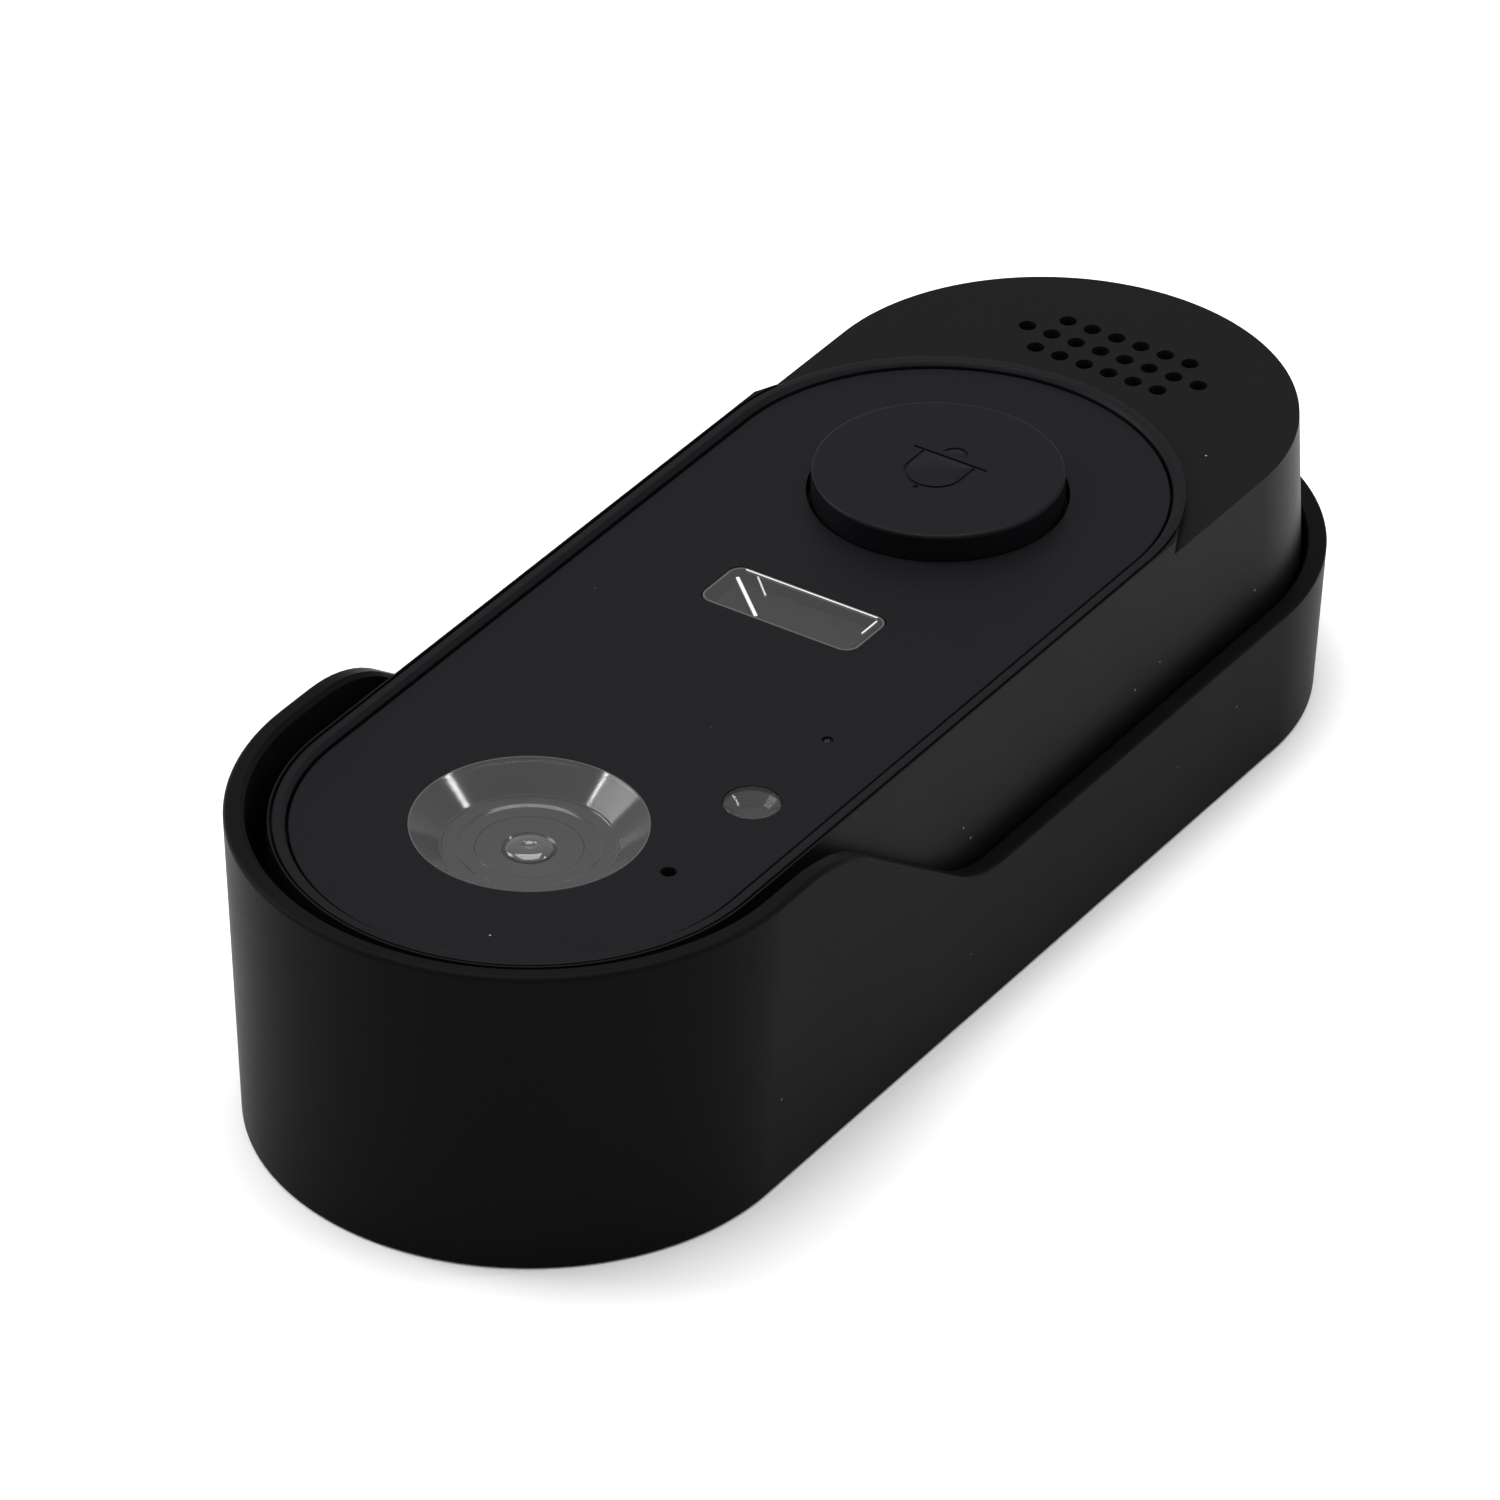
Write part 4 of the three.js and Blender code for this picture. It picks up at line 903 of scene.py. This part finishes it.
# %% [markdown]
# ## Call button
# The button is a deep cap with a rounded edge, a flange that keeps it behind the panel, and a
# stem that meets the switch. A plain bell is engraved in its top: a rim line, a dome, a small
# crown and the arc of a clapper. Each line of the bell is a thin ribbon that is raised into a
# cutter, because a cut line keeps its two crisp edges.

# %% The cap
button_low, button_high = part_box("call_button")
BUTTON_R, ROUNDING = 11 * MM, 0.35 * MM
flange_r = (button_high.x - button_low.x) / 2
flange_z = DECK_TOP - 0.2 * MM
cap = turned("call_button_cap", [
    (0, button_low.z), (1.6 * MM, button_low.z), (1.8 * MM, button_low.z + 0.2 * MM),
    (1.8 * MM, flange_z - MM), (flange_r, flange_z - MM), (flange_r, flange_z),
    (BUTTON_R, flange_z),
    *bend(BUTTON_R - ROUNDING, button_high.z - ROUNDING, ROUNDING, 0, 90, 6),
    (0, button_high.z),
], button_at.x, button_at.y)

# %% The engraved bell
LINE, DEPTH = 0.3 * MM, 0.16 * MM


def ribbon(centre_y, radius, sides, turn):
    """A flat U: a half turn about (0, centre_y) with two straight sides, then given a height."""
    nothing_selected()
    bpy.ops.mesh.primitive_plane_add(size=MM, enter_editmode=True, location=(0, 0, 0))
    piece = bpy.context.object
    bpy.ops.mesh.select_mode(type="VERT")
    bpy.ops.mesh.merge(type="CENTER")
    start = (radius - LINE / 2, centre_y - turn * sides, button_high.z - DEPTH)
    bpy.ops.transform.translate(value=start)
    bpy.ops.mesh.extrude_region_move(TRANSFORM_OT_translate={"value": (LINE, 0, 0)})
    bpy.ops.mesh.select_all(action="SELECT")
    if sides:
        step = {"value": (0, turn * sides, 0)}
        bpy.ops.mesh.extrude_region_move(TRANSFORM_OT_translate=step)
    bpy.ops.mesh.spin(steps=24, angle=-turn * pi, center=(0, centre_y, 0), axis=(0, 0, 1))
    if sides:
        step = {"value": (0, -turn * sides, 0)}
        bpy.ops.mesh.extrude_region_move(TRANSFORM_OT_translate=step)
    bpy.ops.mesh.select_all(action="SELECT")
    bpy.ops.mesh.extrude_region_move(TRANSFORM_OT_translate={"value": (0, 0, 2 * DEPTH)})
    tidy_mesh()
    return piece


rim_y = button_at.y - 1.9 * MM
low_cut, high_cut = button_high.z - DEPTH, button_high.z + DEPTH
rim = slab("bell rim", (7.5 * MM, LINE), 0.12 * MM, low_cut, high_cut, 0, rim_y, 3)
dome_line = ribbon(rim_y + 2.45 * MM, 2.6 * MM, 2.2 * MM, 1)
crown = rod(0.28 * MM, low_cut, high_cut, 0, rim_y + 5.55 * MM, 16)
clapper = ribbon(rim_y - 0.75 * MM, 1.0 * MM, 0, -1)
carve(cap, rim, dome_line, crown, clapper)
softened(cap, 0.03 * MM)
fitted(cap, "button_plastic", "call_button", "call_button")

# %% [markdown]
# ## Back cover and port cover
# The back cover closes the unit from below. It is a plate with a rolled lower edge, cut for the
# six screw heads and the setup button. The port cover is a soft block that fills the recess in
# the curved near end, so it takes its outer face from the housing's own outline.

# %% Back cover
cover = carried("rear_cover", [
    (0, cover_low.z), (HEEL_R - 0.6 * MM, cover_low.z),
    *bend(HEEL_R - 0.5 * MM, cover_low.z + 0.5 * MM, 0.5 * MM, -90, 0, 4),
    (HEEL_R, cover_high.z), (0, cover_high.z),
], FAR, UNIT_NEAR)
screws = [middle(f"case_screw_{i}") for i in range(1, 7)]
heads = [rod(2.2 * MM, cover_low.z - MM, cover_low.z + 1.4 * MM, s.x, s.y, 40) for s in screws]
shanks = [rod(1.15 * MM, cover_low.z, cover_high.z + MM, s.x, s.y, 24) for s in screws]
setup_at = middle("setup_button")
carve(cover, joined(*heads), joined(*shanks),
      rod(2.8 * MM, cover_low.z - MM, cover_high.z + MM, setup_at.x, setup_at.y, 48))
softened(cover, 0.1 * MM)
fitted(cover, "black_plastic", "unit", "back_cover")

# %% Port cover
seal = upright("charging_port_cover", (port_high.x - port_low.x, port_high.z - port_low.z),
               1.4 * MM, port_low.y - MM, port_floor, port_z)
inside = carried("inside", [(0, CASE_Z), (HEEL_R - 0.06 * MM, CASE_Z),
                            (BELT_R - 0.06 * MM, BELT_Z), (LIP_R - 0.06 * MM, FACE_Z),
                            (0, FACE_Z)], FAR, UNIT_NEAR)
carve(seal, inside, operation="INTERSECT")
softened(seal, 0.08 * MM)
fitted(seal, "black_rubber", "port_cover", "port_cover")

# %% [markdown]
# ## Finishes of the pieces kept from the frame
# Boards, battery, speaker, screws and seals keep their own shapes. Each gets the finish that
# its material slot names.

# %% Finishes for the kept nodes
kept = 0
for part in frame["record"]["subparts"]:
    piece = frame["nodes"][part["node"]]
    finish = FINISH[part["material_slot"]]
    if not piece.material_slots:
        piece.data.materials.append(finish)
    for place in piece.material_slots:
        place.material = finish
    kept += 1
print("nodes with a finish", kept)

# %% [markdown]
# ## Floor
# The doorbell lies on a white table. It is a wide plane with a very faint paper grain.

# %% The table top
nothing_selected()
bpy.ops.mesh.primitive_plane_add(size=6, location=(0, 0, cad_low.z - 0.02 * MM))
table = bpy.context.object
table.name = table.data.name = "table_top"
table.data.materials.append(moulded("White table", (0.86, 0.86, 0.86), 0.8, unevenness=0.01,
                                    pitch=300.0, dust=0.0, rubbed_and_highlight=0.0, specular=0.1))

# %% [markdown]
# ## Light
# A white room gives even light, and soft boxes above and beside the doorbell draw the thin
# bright lines along its edges. Two small lamps stand where the sloping walls of the camera
# funnel and of the light sensor mirror them, so the bright streaks there are true reflections.

# %% Studio light
world = bpy.data.worlds.new("White room")
bpy.context.scene.world = world
world.use_nodes = True
world.node_tree.nodes["Background"].inputs["Color"].default_value = (1, 1, 1, 1)
world.node_tree.nodes["Background"].inputs["Strength"].default_value = 0.6


def soft_box(name, place, aim, size, power):
    lamp = bpy.data.lights.new(name, "AREA")
    lamp.shape, lamp.size, lamp.size_y, lamp.energy = "RECTANGLE", size[0], size[1], power
    holder = bpy.data.objects.new(name, lamp)
    bpy.context.scene.collection.objects.link(holder)
    holder.location = place
    holder.rotation_mode = "QUATERNION"
    holder.rotation_quaternion = (Vector(aim) - Vector(place)).to_track_quat("-Z", "Y")
    return holder


soft_box("Overhead", (0.1, -0.1, 1.1), (0, 0, 0), (0.9, 0.9), 14)
soft_box("Left box", (1.0, 0.3, 0.55), (0, 0, 0), (0.5, 0.9), 8.5)
soft_box("Right box", (-1.0, -0.3, 0.55), (0, 0, 0), (0.5, 0.9), 1.4)
glossy_spot = (camera_at.x, camera_at.y, PANEL_Z)
soft_box("Small lamp left", (0.587, 0.424, 0.74), glossy_spot, (0.035, 0.035), 0.25)
soft_box("Small lamp right", (-0.576, -0.421, 0.701), glossy_spot, (0.08, 0.08), 0.8)
bpy.context.scene.view_settings.view_transform = "Standard"

# %% [markdown]
# ## Camera
# The camera stands beyond the hooded end and looks down along the doorbell, with a long lens
# and a very slight roll.

# %% Camera
azimuth, height, roll = radians(212.985), radians(33.562), radians(0.9206)
back = Vector((sin(azimuth) * cos(height), -cos(azimuth) * cos(height), sin(height)))
level = Vector((cos(azimuth), sin(azimuth), 0))
lift = back.cross(level)
right = level * cos(roll) + lift * sin(roll)
up = lift * cos(roll) - level * sin(roll)
eye = bpy.data.cameras.new("Camera")
eye.lens, eye.sensor_width = 263.76, 36
eye.clip_start, eye.clip_end = 0.01, 20
camera = bpy.data.objects.new("Camera", eye)
bpy.context.scene.collection.objects.link(camera)
target = Vector((0, FAR - 36 * MM, 14.4 * MM))
place = target + back * 0.9371 - right * 1.517 * MM + up * 0.926 * MM
camera.matrix_world = Matrix((
    (right.x, up.x, back.x, place.x), (right.y, up.y, back.y, place.y),
    (right.z, up.z, back.z, place.z), (0, 0, 0, 1)))
bpy.context.scene.camera = camera

# %% The end
import json
